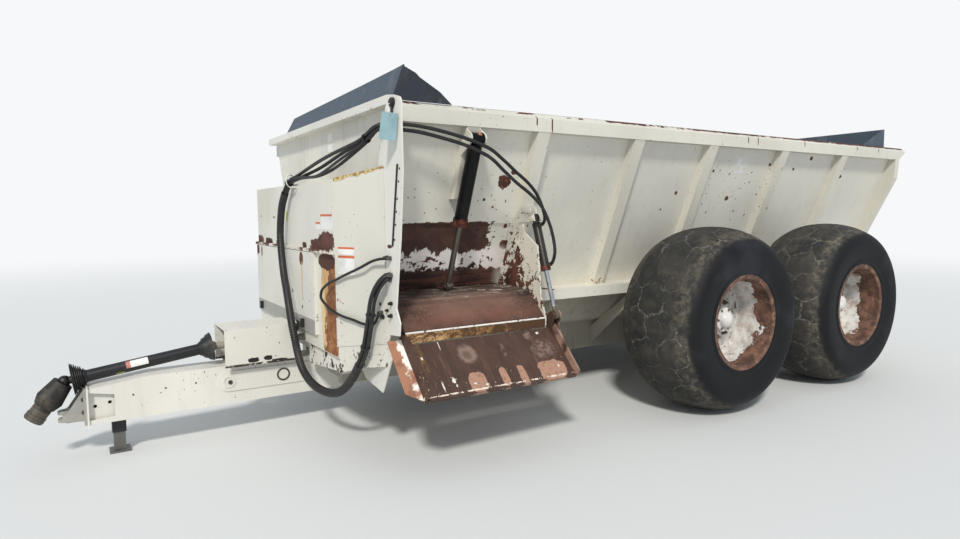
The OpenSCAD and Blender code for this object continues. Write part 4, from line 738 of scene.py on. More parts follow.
def rim_finish(axle_x):
    """White paint on the disc, flaking off towards the rusty outer ring."""
    f = Finish("rim", RUST_RED, 0.75)
    f.color = rust_color(f, (78, 56, 46), (110, 79, 65), (144, 106, 83), 0.6)
    x = f.minus(f.x, axle_x)
    z = f.minus(f.z, TYRE_R)
    away = f.math("SQRT", f.plus(f.times(x, x), f.times(z, z)))
    out = f.minus(f.math("ABSOLUTE", f.y), TRACK_HALF)
    torn = f.wobble(0.55, 5.5, 6, 0.66, shift=(axle_x, 0, 0))
    shade = f.tones((226, 224, 219), (186, 184, 180), 9, 5, 0.6, 0.4, 0.7)
    paint = f.step(f.plus(out, torn), 0.165, 0.15)
    f.layer(shade, 0.45, paint, rise=0.0006)
    dish = f.plus(away, f.times(torn, 0.35))
    f.layer(shade, 0.45, f.step(dish, 0.265, 0.255), rise=0.0006)
    f.layer((112, 70, 54), 0.8, f.flakes(0.03, 22), f.step(away, 0.32, 0.29))
    # painted highlight on the rusty outer ring, in paler blotches
    ring = f.times(f.step(away, 0.3, 0.33), f.blotch(14, 5, 0.7, 0.45, 0.62))
    f.layer((150, 112, 90), 0.7, ring, 0.6)
    f.lift(f.noise(80, 5, 0.7), 0.0006)
    return f.done()


def tyre_profile():
    """Rows from bead to bead over the outside: distance across, radius, how far it is on the tread."""
    rows = [(a, r, 0.0) for a, r in BEAD]
    arc = []
    for i in range(ARC_STEPS + 1):
        turn = math.pi * (1 - i / ARC_STEPS)
        a, r = TYRE_HALF * math.cos(turn), BELLY_R + (TYRE_R - BELLY_R) * math.sin(turn)
        arc.append((a, r, min(1.0, max(0.0, (math.sin(turn) - 0.42) / 0.22))))
    return rows + arc + [(-a, r, t) for a, r, t in rows[::-1]]


def add_tyre(node, body, axle_x, phase, side, finish):
    """A worn tyre in place of the construction's; phase turns its unevenness."""
    profile = tyre_profile()
    theta = np.arange(TURNS) * 2 * math.pi / TURNS
    across, radius, tread = np.array(profile).T
    run = np.concatenate([[0], np.cumsum(np.hypot(np.diff(across), np.diff(radius)))])
    run -= run[-1] / 2
    # the honeycomb closes on itself: an even number of rows goes round
    cell = 2 * math.pi * TYRE_R / (TREAD_CELLS * 3 ** 0.5 / 2)
    u = theta[:, None] / (2 * math.pi) * TREAD_CELLS * 3 ** 0.5 / 2 * np.ones_like(run)[None, :]
    v = run[None, :] / cell * np.ones((TURNS, 1)) + 0.18 * np.sin(2 * theta + phase)[:, None]
    groove = np.clip(1 - hexagons(u, v) / GROOVE_HALF, 0, 1)
    fade = np.clip((TREAD_REACH - np.abs(run)) / 0.1, 0, 1)[None, :] * tread[None, :]
    bite = groove * groove * (3 - 2 * groove) * fade
    sag = 0.004 * np.sin(3 * theta + phase)[:, None] * fade
    r = radius[None, :] - GROOVE_DEPTH * bite - np.abs(sag)
    x = axle_x + r * np.cos(theta)[:, None]
    z = TYRE_R + r * np.sin(theta)[:, None]
    y = side * (TRACK_HALF + across[None, :] * np.ones((TURNS, 1)))
    points = np.stack([x, y, z], -1).reshape(-1, 3)
    n = len(profile)
    inner_start = len(points)
    # the inside, a plain wall from bead to bead
    extra = [[axle_x + q * math.cos(t), side * (TRACK_HALF + a), TYRE_R + q * math.sin(t)]
             for t in theta for a, q in INSIDE]
    points = np.concatenate([points, np.array(extra)])
    faces = []
    m = len(INSIDE)
    for i in range(TURNS):
        j = (i + 1) % TURNS
        here, there = i * n, j * n
        within, beyond = inner_start + i * m, inner_start + j * m
        faces += [(here + k, there + k, there + k + 1, here + k + 1) for k in range(n - 1)]
        faces += [(within + k + 1, beyond + k + 1, beyond + k, within + k) for k in range(m - 1)]
        faces.append((here, within, beyond, there))
        faces.append((there + n - 1, beyond + m - 1, within + m - 1, here + n - 1))
    mesh = bpy.data.meshes.new(node + "_worn")
    mesh.from_pydata(points.tolist(), [], faces)
    shoulder = np.clip(1 - np.abs(np.abs(run) - SHOULDER) / 0.1, 0, 1)
    for label, values in (("tread", tread), ("shoulder", shoulder)):
        layer = mesh.attributes.new(label, "FLOAT", "POINT")
        flat = np.zeros(len(points), np.float32)
        flat[:inner_start] = np.tile(values, TURNS)
        layer.data.foreach_set("value", flat)
    if side > 0:
        mesh.flip_normals()
    # places on the tread by face corner, so that the pattern runs on over the seam
    point_of = np.empty(len(mesh.loops), np.int32)
    mesh.loops.foreach_get("vertex_index", point_of)
    corners = np.empty(len(mesh.polygons), np.int32)
    mesh.polygons.foreach_get("loop_total", corners)
    face_of = np.repeat(np.arange(len(mesh.polygons)), corners)
    on_tread = point_of < inner_start
    row = np.where(on_tread, point_of // n, 0)
    wide = np.zeros(len(mesh.polygons), bool)
    np.logical_or.at(wide, face_of, row == TURNS - 1)
    once = u[1, 0] - u[0, 0]
    place = np.where(wide[face_of] & (row == 0), TURNS, row) * once
    side_place = np.where(on_tread, v.reshape(-1)[np.minimum(point_of, inner_start - 1)], 0.0)
    for label, values in (("around", place), ("across", side_place)):
        layer = mesh.attributes.new(label, "FLOAT", "CORNER")
        layer.data.foreach_set("value", values.astype(np.float32))
    mesh.shade_smooth()
    piece = linked(node + "_worn", mesh, finish)
    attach(piece, body)
    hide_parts(node)


def wheel_circle(x, side, count, first, radius, out):
    """Places on a circle round a wheel's axis, at a distance out from the hub's face."""
    for k in range(count):
        turn = 2 * math.pi * (k + first) / count
        yield Vector((x + radius * math.cos(turn), side * (HUB_FACE + out), TYRE_R + radius * math.sin(turn)))


def add_wheels():
    rubber = tyre_finish()
    hub_white = plain_finish("hub paint", (232, 230, 224), 0.3, dusty=0.25, rise=0.0001)
    nut_steel = plain_finish("wheel nuts", (120, 112, 104), 0.5, 0.6, dusty=0.6)
    for phase, (name, x) in enumerate(AXLES.items()):
        paint = rim_finish(x)
        for side, word in ((-1, "left"), (1, "right")):
            body = f"wheel_{name}_{word}"
            add_tyre(f"tyre_{name}_{word}", body, x, phase, side, rubber)
            dress([f"rim_{name}_{word}"], paint)
            outward = (0, side, 0)
            cap = Shape().lathe(HUB_CAP, (x, side * HUB_FACE, TYRE_R), outward, 40)
            cap.piece(f"hub_cap_{name}_{word}", body, "rim_paint", hub_white)
            nuts = Shape()
            for spot in wheel_circle(x, side, *WHEEL_NUTS):
                nuts.bolt(spot, outward, 0.016, 0.018, 1.35)
                nuts.lathe([(0, 0.009), (0.036, 0.009), (0.038, 0.007)], spot, outward, 12)
            for spot in wheel_circle(x, side, *HUB_SCREWS):
                nuts.bolt(spot, outward, 0.007, 0.006)
            nuts.piece(f"wheel_nuts_{name}_{word}", body, "bare_steel", nut_steel, smooth=30)


add_wheels()


# Finishes of the construction's own pieces

def dress_tank():
    # columns: place along the machine, height, size
    spots = ((-1.107, 1.719, 0.042), (-1.05, 1.78, 0.018), (-1.145, 1.742, 0.014), (-0.99, 1.29, 0.03),
             (-1.01, 1.42, 0.014), (-1.24, 1.6, 0.01), (-1.16, 1.55, 0.008), (0.595, 1.663, 0.014),
             (0.96, 1.846, 0.012), (1.255, 1.625, 0.02), (1.682, 1.922, 0.014), (2.055, 1.895, 0.012),
             (2.273, 1.994, 0.018), (2.883, 1.845, 0.017), (0.476, 1.531, 0.008), (1.412, 1.516, 0.008))

    def behind_gate(f):
        x, z = f.x, f.z
        near = f.step(x, -0.9, -1.06)
        f.layer((240, 232, 226), 0.6, near, f.step(z, 1.3, 1.24))
        falling = f.minus(f.times(f.ramp(z, 1.275, 1.128), 0.17), 0.04)
        band = f.times(f.flakes(f.minus(falling, f.times(f.step(x, -1.16, -1.0), 0.07)), 15),
                       f.step(z, 1.32, 1.28), near)
        # the patch: lower at its front end, toothed below, ragged at its rear end
        torn = f.minus(f.noise(15, 6, 0.72, shift=(4, 4, 2)), 0.5)
        teeth = f.minus(f.noise(17, 5, 0.7, stretch=(1.6, 1, 0.55), shift=(1, 4, 7)), 0.5)
        below_top = f.plus(f.plus(z, f.times(torn, 0.05)), f.times(f.step(x, -1.8, -1.84), 0.052))
        above_foot = f.plus(z, f.times(teeth, 0.24))
        before_end = f.plus(x, f.times(torn, 0.42))
        patch = f.times(f.step(below_top, 1.454, 1.45), f.step(above_foot, 1.252, 1.258),
                        f.step(before_end, -1.13, -1.14))
        f.layer(f.tones((64, 42, 35), (84, 55, 45), 11, 6, 0.7, 0.4, 0.65), 0.8, patch, rise=-0.0008)
        f.layer(f.tones((54, 35, 31), (80, 49, 42), 10, 4, 0.6, 0.45, 0.6), 0.85, band, rise=-0.0008)
        low = f.times(f.step(f.plus(z, f.times(f.noise(22, 4, 0.6), 0.06)), 1.158, 1.15), near)
        f.layer(f.tones((48, 32, 29), (92, 58, 48), 9, 5, 0.6, 0.4, 0.6, stretch=(0.3, 1, 3)),
                0.7, low)
        crumbs = f.times(f.blotch(40, 2, 0.4, 0.705, 0.72, shift=(3, 8, 1)), near, f.step(z, 1.9, 1.6))
        f.layer(BLACK_CHIP, 0.8, crumbs)
        wide = f.times(f.blotch(30, 2, 0.4, 0.7, 0.72, shift=(6, 8, 1)),
                       f.region((1.3, 0, 1.66), (0.5, None, 0.26), 0.3, 4))
        f.layer(BLACK_CHIP, 0.8, wide)
    spots = [((x, 0, z), (r * 1.15, None, r), 0.4) for x, z, r in spots]
    side = worn_paint("tank side paint", grime=0.16, chips=0.45, torn=spots, extra=behind_gate)
    dress(["tank_left", "gate"], side)
    inside = worn_paint("tank paint", grime=0.35, chips=0.5)
    dress(["tank_right", "tank_front", "tank_rear"], inside)

    def rail_edge(f):
        crust = f.times(f.step(f.z, 2.1525, 2.1555), f.blotch(9, 5, 0.7, 0.3, 0.44))
        f.layer(rust_color(f, warm=0.4), 0.85, crust)
        edge = f.plus(f.z, f.wobble(0.03, 17, 5, 0.7))
        line = f.times(f.step(edge, 2.137, 2.14),
                       f.step(f.plus(f.noise(5, 4, 0.7), f.times(f.ramp(f.x, -1.8, 1.0), 0.12)),
                              0.5, 0.56))
        f.layer(rust_color(f, warm=0.2), 0.85, line)
        # short runs of rust below the edge
        for x, tall in ((-0.985, 0.03), (-0.86, 0.052), (1.21, 0.03), (1.34, 0.036), (2.02, 0.024),
                        (2.9, 0.02), (3.3, 0.02)):
            f.layer((92, 60, 42), 0.8, f.region((x, 0, 2.132 - tall), (0.006, None, tall), 0.2, 40))
    dress(["side_rails"], worn_paint("rail paint", base=(219, 216, 203), grime=0.12, chips=0.5,
                                     extra=rail_edge))

    def stained_below(f):
        runs = f.times(f.blotch(26, 3, 0.6, 0.6, 0.66), f.step(f.z, 2.142, 2.13))
        f.layer((150, 112, 78), 0.6, runs, 0.7)
    dress(["front_rail"], worn_paint("front rail paint", base=(232, 230, 220), grime=0.08, chips=0.15,
                                     extra=stained_below))

    def rib_wear(f):
        x, z = f.x, f.z
        first = f.times(f.step(x, -0.8, -0.88), f.step(z, 1.62, 1.5), f.step(f.y, 0.1, -0.1))
        bias = f.minus(f.times(f.ramp(z, 1.6, 1.1), 0.15), 0.02)
        f.layer(rust_color(f, warm=0.1), 0.85, first, f.flakes(bias, 17), rise=-0.0006)
        streak = f.times(f.region((1.76, 0, 1.6), (0.1, None, 0.36), 0.2, 6), f.flakes(0.0, 26, (4, 2, 0)))
        f.layer((128, 94, 54), 0.8, streak)
        foot = f.times(f.step(z, 1.05, 0.985), f.flakes(0.03, 20, (1, 7, 0)))
        f.layer((160, 112, 76), 0.7, foot)
    dress(["ribs", "cylinder_ribs"],
          worn_paint("rib paint", base=(222, 218, 204), grime=0.12, chips=0.55, extra=rib_wear))
    dress(["sills"], worn_paint("sill paint", grime=0.12, chips=0.4,
                                torn=[((-0.88, 0, 0.94), (0.035, None, 0.006), 0.3),
                                      ((-0.6, 0, 0.945), (0.03, None, 0.004), 0.3)]))
    dirty = worn_paint("dirty paint", base=(172, 168, 154), grime=0.7, chips=0.3)
    dress(["tank_floor", "chassis", "axle_tube", "walking_beams", "drive_box"], dirty)


def dress_front():
    def front_wear_and_shade(f):
        y, z = f.y, f.z
        front = f.step(f.x, COVER_X + 0.03, COVER_X + 0.02)
        # columns: distance across, height, half sizes, raggedness
        rust = ((-0.66, 1.335, 0.16, 0.062, 0.3), (-0.47, 1.305, 0.13, 0.042, 0.4),
                (-0.21, 1.29, 0.045, 0.03, 0.4),
                (1.02, 1.3, 0.1, 0.038, 0.4), (0.74, 1.29, 0.11, 0.032, 0.4),
                (0.46, 1.285, 0.07, 0.02, 0.4),
                (1.05, 1.215, 0.055, 0.042, 0.35), (0.88, 1.205, 0.022, 0.045, 0.35))
        for py, pz, hy, hz, ragged in rust:
            f.layer(rust_color(f, warm=0.15), 0.82, front,
                    f.region((COVER_X, py, pz), (None, hy, hz), ragged, 24), rise=-0.0006)
        ledge = f.times(f.step(f.x, COVER_X - 0.002, COVER_X - 0.004), f.flakes(0.05, 18))
        f.layer((150, 112, 82), 0.8, ledge)
        # where the panel's paint has gone beside the corner panel
        column = f.times(f.region((COVER_X, -0.7, 0.9), (None, 0.165, 0.37), 0.05, 14), front)
        tan = f.tones((224, 196, 150), (196, 158, 104), 7, 5, 0.7, 0.42, 0.62, stretch=(1, 1, 0.4))
        brown = f.tones((126, 78, 46), (166, 112, 62), 13, 5, 0.72, 0.42, 0.6)
        lean = f.plus(f.plus(y, 0.7), f.times(f.ramp(z, 1.15, 0.6), -0.12))
        to_brown = f.step(f.plus(lean, f.wobble(0.26, 11, 5, 0.7)), 0.012, -0.012)
        f.layer(f.mixed(to_brown, tan, brown), 0.8, column, rise=-0.0004)
        f.layer((228, 216, 192), 0.6, column, f.flakes(-0.03, 15, (2, 2, 5)), rise=0.0005)
        top = f.region((COVER_X, -0.67, 1.205), (None, 0.155, 0.05), 0.25, 12)
        f.layer((78, 46, 34), 0.85, front, top)
        run = f.region((COVER_X, -0.2, 1.1), (None, 0.018, 0.14), 0.3, 16)
        f.layer((206, 164, 104), 0.6, run, 0.5)
        apron = f.times(f.step(z, COVER_BASE + 0.006, COVER_BASE), f.step(f.x, -2.12, -2.14))
        f.layer((226, 222, 212), 0.5, apron)
        f.layer(BLACK_CHIP, 0.75, apron, f.flakes(0.062, 13, (1, 4, 4)), rise=-0.0006)
        # painted shade: a darker, yellower patch high on the enclosure's front
        shaded = f.region((COVER_X, 1.0, 1.6), (None, 0.3, 0.16), 0.3, 3, 0.8)
        f.layer((196, 186, 150), 0.5, shaded, 0.25)
    dress(["enclosure"], worn_paint("enclosure paint", grime=0.12, chips=0.3, extra=front_wear_and_shade))

    def panel_wear(f):
        z = f.z
        for py, pz, hy, hz in ((-0.2, 1.205, 0.04, 0.048), (1.03, 1.215, 0.05, 0.038),
                               (0.9, 1.205, 0.02, 0.042)):
            f.layer(rust_color(f, warm=0.3), 0.82, f.region((COVER_X, py, pz), (None, hy, hz), 0.35, 16),
                    rise=-0.0006)
        run = f.region((COVER_X, -0.2, 1.05), (None, 0.016, 0.14), 0.3, 16)
        f.layer((204, 160, 100), 0.6, run, 0.6)
        edge = f.times(f.step(f.y, -0.385, -0.4), f.flakes(0.005, 30, (2, 5, 1)))
        f.layer(BLACK_CHIP, 0.8, edge)
        side = f.times(f.step(f.y, 1.02, 1.035), f.flakes(-0.01, 24, (5, 5, 1)))
        f.layer((112, 72, 50), 0.8, side)
        latch = f.times(f.step(f.x, COVER_X - 0.0215, COVER_X - 0.0225), f.step(z, 0.8, 0.795))
        f.layer((30, 30, 31), 0.5, latch)
    stains = [((COVER_X, 0.03, 0.955), (None, 0.012, 0.014), 0.4),
              ((COVER_X, -0.19, 0.86), (None, 0.012, 0.014), 0.4),
              ((COVER_X, -0.21, 0.92), (None, 0.006, 0.006), 0.4),
              ((COVER_X, -0.36, 0.92), (None, 0.006, 0.006), 0.4)]
    dress(["service_panel"],
          worn_paint("service panel paint", grime=0.12, chips=0.3, torn=stains, extra=panel_wear))

    def crust(f):
        edge = f.minus(f.z, f.times(f.minus(f.x, COVER_X), 0.37))
        top = f.times(f.step(f.plus(edge, f.times(f.noise(20, 4, 0.6), 0.05)), 1.733, 1.739),
                      f.blotch(14, 5, 0.7, 0.33, 0.45))
        f.layer(f.tones((150, 116, 62), (206, 186, 132), 40, 4, 0.6, 0.45, 0.6), 0.85, top, rise=0.002)
        low = f.times(f.step(edge, 0.74, 0.6), f.flakes(0.035, 15, (3, 1, 4)))
        f.layer((60, 42, 34), 0.8, low, rise=-0.0006)
        rim = f.times(f.step(f.x, -2.16, -2.172), f.step(f.z, 1.14, 1.05),
                      f.flakes(0.03, 18, (3, 4, 4)))
        f.layer((150, 98, 56), 0.8, rim)
        worn = f.times(f.step(f.x, -2.044, -2.034), f.flakes(-0.015, 24, (3, 4, 4)))
        f.layer((150, 124, 88), 0.8, worn)
    dress(["corner_panel"],
          worn_paint("corner panel paint", base=(214, 211, 199), grime=0.08, chips=0.2, extra=crust))

    def post_wear(f):
        mark = f.region((TANK_X0, -1.283, 1.321), (None, 0.03, 0.01), 0.4, 30)
        f.layer((84, 50, 36), 0.8, mark)
        low = f.times(f.step(f.z, 1.45, 1.2), f.flakes(-0.03, 26, (7, 4, 2)))
        f.layer((122, 84, 58), 0.8, low)
        outer = f.times(f.step(f.plus(f.y, f.times(f.z, 0.1)), -1.235, -1.25),
                        f.flakes(-0.02, 34, (7, 1, 2)))
        f.layer(BLACK_CHIP, 0.8, outer)
    dress(["bulkhead"], worn_paint("bulkhead paint", base=(230, 228, 218), grime=0.08, chips=0.35,
                                   extra=post_wear))

    def lower_peel(f):
        for px, pz, hx, hz in ((-2.555, 0.518, 0.036, 0.016), (-2.456, 0.524, 0.03, 0.016),
                               (-2.38, 0.503, 0.05, 0.007)):
            f.layer(BLACK_CHIP, 0.8, f.region((px, -0.175, pz), (hx, None, hz), 0.3, 26), rise=-0.0005)
        line = f.times(f.step(f.z, 0.502, 0.496), f.blotch(30, 4, 0.7, 0.4, 0.48))
        f.layer((52, 40, 34), 0.8, line, rise=-0.0005)
        chips = f.times(f.step(f.x, -2.695, -2.715), f.flakes(0.0, 34, (1, 6, 2)))
        f.layer(BLACK_CHIP, 0.8, chips)
    dress(["input_cover"],
          worn_paint("input cover paint", base=(232, 229, 218), grime=0.10, chips=0.35, extra=lower_peel))
    dress(["tongue"], worn_paint("tongue paint", base=(232, 229, 219), grime=0.14, chips=0.45))
    dress(["hitch"], plain_finish("hitch steel", (168, 166, 158), 0.5, 0.2, dusty=0.5))
    dress(["jack_tube"], plain_finish("jack paint", (30, 31, 33), 0.5, dusty=0.3))
    dress(["jack_leg"], plain_finish("jack leg steel", (120, 120, 116), 0.45, 0.6, dusty=0.5))


def dress_discharge():
    def shelf(f):
        x, y, z = f.x, f.y, f.z
        high = f.step(z, 0.955, 0.975)
        f.layer(f.mixed(f.blotch(8, 6, 0.7, 0.42, 0.62, stretch=(0.4, 2, 2)), (64, 48, 41),
                        (116, 100, 88)), 0.8, high)
        streaks = f.blotch(6, 6, 0.7, 0.54, 0.6, stretch=(0.35, 4, 4), shift=(1, 2, 9))
        f.layer((44, 30, 27), 0.8, high, streaks)
        left = f.times(high, f.blotch(17, 5, 0.7, 0.585, 0.6, stretch=(0.5, 1.6, 1.6), shift=(9, 1, 1)))
        f.layer((222, 214, 202), 0.5, left, f.step(x, -1.8, -1.25), rise=0.0005)
        f.layer((40, 26, 22), 0.8, f.step(z, 0.945, 0.953), f.step(z, 0.975, 0.966))
        pale = f.region((-1.45, -1.16, 0.9), (0.36, 0.09, None), 0.45, 5, 0.5)
        f.layer((152, 114, 98), 0.6, pale, 0.4)
        warm = f.region((-1.4, -1.26, 0.83), (0.5, 0.04, None), 0.4, 6, 0.6)
        f.layer((132, 86, 68), 0.6, warm, 0.45)
        grit = f.times(f.blotch(48, 5, 0.75, 0.52, 0.66, shift=(2, 4, 4)),
                       f.blotch(5, 4, 0.6, 0.4, 0.6, shift=(2, 9, 4)))
        f.layer((140, 124, 110), 0.8, grit, 0.5)
        strip = f.times(f.step(y, -1.3095, -1.3115), f.step(z, 0.8065, 0.8085))
        f.layer((238, 234, 226), 0.45, strip, f.blotch(34, 5, 0.7, 0.37, 0.44))
        bar = f.times(f.step(z, 0.806, 0.802), f.step(y, -1.306, -1.31))
        pale = f.mixed(f.step(x, -1.74, -1.66), (224, 180, 128), (176, 136, 84))
        crust = f.mixed(f.blotch(30, 6, 0.8, 0.44, 0.62, stretch=(0.5, 1, 1)), (96, 66, 38), pale)
        toward = f.plus(f.times(f.noise(16, 5, 0.7), 1.2), f.times(x, 0.4))
        f.layer(f.mixed(f.step(toward, -0.12, 0.12), crust, (78, 52, 32)), 0.85, bar, rise=0.0012)
    dress(["tray"], rusty_finish("tray rust", 0.25, dark=(62, 40, 33), red=(86, 58, 47),
                                 orange=(110, 77, 57), extra=shelf, polish=(96, 74, 63)))

    def lip_paint(f):
        tilt = Vector((0, -math.cos(LIP_DROP), -math.sin(LIP_DROP)))
        slant = abs(tilt.y)

        def spot(x, s, hx, hy, *ragged, **more):
            """A region round a place along the machine and down the plate, with its half sizes."""
            return f.region((x, (LIP_ROOT + s * tilt).y, 0), (hx, hy, None), *ragged, **more)
        # columns: place along the machine, distance down the plate, half sizes, raggedness or share
        bare = ((-1.595, 0.31, 0.057, 0.065, 0.16), (-1.405, 0.305, 0.026, 0.064, 0.2),
                (-1.27, 0.312, 0.026, 0.072, 0.2), (-1.04, 0.312, 0.105, 0.07, 0.16))
        scuffs = ((-1.026, 0.154, 0.085, 0.055, 0.675), (-1.33, 0.13, 0.014, 0.05, 0.525),
                  (-1.1, 0.045, 0.03, 0.03, 0.75))
        left = ((-1.748, 0.276, 0.01, 0.013, 0.8), (-1.742, 0.31, 0.005, 0.006, 0.8),
                (-1.892, 0.103, 0.006, 0.008, 0.8), (-1.827, 0.3, 0.005, 0.02, 0.8),
                (-1.021, 0.033, 0.012, 0.005, 0.8), (-1.753, 0.03, 0.0025, 0.022, 0.6),
                (-1.95, 0.3, 0.01, 0.014, 0.8), (-1.62, 0.315, 0.008, 0.004, 0.8),
                (-1.545, 0.335, 0.012, 0.004, 0.8), (-0.985, 0.29, 0.006, 0.006, 0.8))
        runs = f.blotch(15, 5, 0.65, 0.42, 0.62, stretch=(1, 0.14, 0.14))
        f.layer((66, 46, 37), 0.6, runs, 0.75)
        pale = f.blotch(24, 5, 0.7, 0.56, 0.7, stretch=(1, 0.12, 0.12), shift=(4, 1, 8))
        f.layer((132, 100, 84), 0.6, pale, 0.4)
        for x, s, hx, hs, ragged in bare:
            f.layer(f.tones((172, 132, 111), (126, 88, 72), 36, 6, 0.8, 0.47, 0.72), 0.55,
                    spot(x, s, hx, hs * slant, ragged, 16, power=3), rise=-0.0003)
        ring = spot(-1.591, 0.117, 0.056, 0.06 * slant, 0.25, 22, 0.3)
        hollow = spot(-1.596, 0.12, 0.028, 0.03 * slant, 0.3, 22, 0.5)
        f.layer((158, 132, 120), 0.7, f.minus(ring, f.times(hollow, 0.6)), 0.6)
        for x, s, hx, hs, share in scuffs:
            f.layer((150, 124, 112), 0.7, spot(x, s, hx, hs * slant, 0.5, 20, 0.4),
                    f.blotch(44, 5, 0.75, 0.4, 0.62), share)
        crust = spot(-1.893, 0.115, 0.022, 0.1 * slant, 0.35, 9, 0.3)
        f.layer((118, 88, 44), 0.7, crust, f.blotch(26, 5, 0.7, 0.34, 0.66))
        for *place, ragged in left:
            f.layer((230, 224, 212), 0.5, spot(*place, ragged, None, 0.02), rise=0.0004)
        y = f.y
        low = LIP_ROOT + 0.356 * tilt
        foot = f.times(f.region((-1.43, low.y, low.z), (0.53, 0.004, 0.009), 0.4, 26, power=6),
                       f.blotch(30, 5, 0.7, 0.46, 0.52))
        f.layer((228, 216, 200), 0.5, foot)
        dots = f.times(f.blotch(75, 2, 0.5, 0.7, 0.715, shift=(5, 2, 2)), f.step(y, -1.46, -1.54))
        f.layer((224, 206, 160), 0.5, dots)
        wing = f.step(f.x, -1.972, -1.975)
        f.layer(f.tones((164, 114, 86), (138, 92, 69), 9, 5, 0.7, 0.45, 0.6), 0.75, wing)
        inner = f.plus(f.x, f.wobble(0.09, 16, 5, 0.7))
        band = f.times(f.step(inner, -2.006, -1.996), wing, f.blotch(5, 4, 0.6, 0.4, 0.48, shift=(2, 2, 6)))
        f.layer((236, 230, 218), 0.5, band)
        crease = f.times(f.step(f.x, -1.96, -1.962), f.step(f.x, -1.968, -1.966),
                         f.flakes(0.0, 26, (3, 3, 3)))
        f.layer((228, 216, 190), 0.5, crease)
        end = f.times(f.step(f.x, -0.892, -0.886), f.blotch(8, 4, 0.6, 0.42, 0.55))
        f.layer((196, 160, 140), 0.5, end, 0.6)
    dress(["lip"], rusty_finish("lip rust", 0.05, dark=(70, 47, 38), red=(84, 59, 48), orange=(98, 71, 57),
                                rough=0.62, extra=lip_paint))

    def end_plate(f):
        y, z = f.y, f.z
        inner = f.ramp(y, -1.1, -0.93)
        bias = f.plus(f.times(f.ramp(z, 1.42, 0.98), 0.1), f.times(inner, 0.16))
        f.layer(rust_color(f, warm=0.1), 0.85, f.flakes(f.minus(bias, 0.015), 19, (4, 3, 2)), rise=-0.0006)
    dress(["discharge_end"],
          worn_paint("end plate paint", base=(232, 226, 210), grime=0.1, chips=0.3, extra=end_plate))

    def worn_cap(f):
        f.shader.inputs["Specular IOR Level"].default_value = 0.2
        f.layer((176, 118, 82), 0.6, f.region((-1.45, -1.06, 1.985), (0.013, None, 0.008), 0.3))
        f.layer(f.tones((58, 34, 28), (112, 60, 44), 30, 3, 0.6, 0.4, 0.6), 0.7,
                f.step(f.z, 1.475, 1.462))
    dress(["gate_cylinder"],
          plain_finish("cylinder paint", (9, 10, 12), 0.34, dusty=0.08, grain=300, extra=worn_cap))

    def gland(f):
        f.layer((104, 52, 44), 0.6, f.step(f.z, 1.16, 1.15))
        f.layer((44, 34, 30), 0.7, f.step(f.z, 1.38, 1.43), f.blotch(18, 4, 0.6, 0.4, 0.55))
    dress(["lip_cylinder"], plain_finish("cylinder steel", (62, 60, 56), 0.35, 0.5, dusty=0.4, extra=gland))
    dress(["gate_rod"], plain_finish("dull rod", (112, 106, 96), 0.35, 0.8, dusty=0.5))

    def rod_eye(f):
        f.layer((104, 92, 80), 0.6, f.step(f.z, 0.9, 0.885), metal=0.2)
    dress(["lip_rod"], plain_finish("bright rod", (212, 214, 218), 0.16, 1.0, dusty=0.05, rise=0.00001,
                                    extra=rod_eye))
    dress(["auger_left", "auger_right", "expeller"], rusty_finish("auger rust", 0.4, polish=(140, 130, 120)))


def dress_drive():
    guard = plain_finish("guard plastic", (27, 27, 29), 0.42, dusty=0.3, grain=400)
    dress(["shaft_guard"], guard)
    dress(["shaft_end"], plain_finish("joint boot", (34, 31, 29), 0.6, dusty=0.5))
    dress(["shaft_collar"], plain_finish("joint collar", (92, 84, 74), 0.5, 0.4, dusty=0.6))

    def weathered(f):
        front = f.step(f.y, -1.268, -1.262)
        f.layer((78, 92, 106), 0.5, front, 0.7)
        creases = f.blotch(7, 6, 0.7, 0.54, 0.64, stretch=(1, 1, 0.3), shift=(6, 2, 2))
        f.layer((112, 118, 124), 0.6, creases, 0.35)
        f.layer((118, 72, 62), 0.7, f.flakes(-0.055, 11, (2, 8, 3)), 0.8)
    belt = plain_finish("shield rubber", (42, 47, 55), 0.5, dusty=0.35, grain=120, rise=0.0004,
                        dust=(96, 90, 80), extra=weathered)
    dress(["shield_front", "shield_rear"], belt)


dress_tank()
dress_front()
dress_discharge()
dress_drive()


# Small parts on the outside

# distances across and heights of blank plates and strips on the enclosure and on the front wall
COVER_PLATES = ((-0.79, -0.575, 1.412, 1.492), (-0.555, -0.475, 1.412, 1.442))
COVER_STRIPS = ((-0.785, -0.565, 1.497, 1.509), (-0.555, -0.468, 1.447, 1.459))
WALL_PLATES = ((-0.158, -0.072, 2.033, 2.089), (-0.158, -0.072, 1.958, 2.014))
COVER_LABEL = (0.172, 0.222, 1.462, 1.535)
# distances along the corner panel's outside, and heights
PANEL_PLATES = ((0.032, 0.17, 1.262, 1.296), (0.032, 0.17, 1.14, 1.24))
PANEL_STRIPS = ((0.03, 0.172, 1.297, 1.308), (0.03, 0.172, 1.242, 1.256))
SIDE_PLATE_X, SIDE_PLATE_WIDE, SIDE_PLATE_LOW, SIDE_PLATE_HIGH = 1.225, 0.145, 1.835, 1.965
SUNK = 0.001                       # how far a plate reaches into what it lies on
PLATE = 0.0022                     # its whole thickness
LOOP_R = 0.0035
# fittings on the corner post: distance across, height, radius, length
POST_FITTINGS = ((-1.259, 1.257, 0.013, 0.03), (-1.181, 0.98, 0.015, 0.026), (-1.199, 0.905, 0.017, 0.03),
                 (-1.299, 0.994, 0.012, 0.024), (-1.296, 0.922, 0.012, 0.026), (-1.245, 0.948, 0.009, 0.02))
# rivets: distance across, height
POST_RIVETS = ((-1.431, 1.756), (-1.417, 1.686), (-1.396, 1.591), (-1.382, 1.52), (-1.368, 1.447),
               (-1.352, 1.362))
COVER_RIVETS = ((0.548, 1.489), (0.574, 1.491), (0.97, 1.5), (0.3, 1.66))


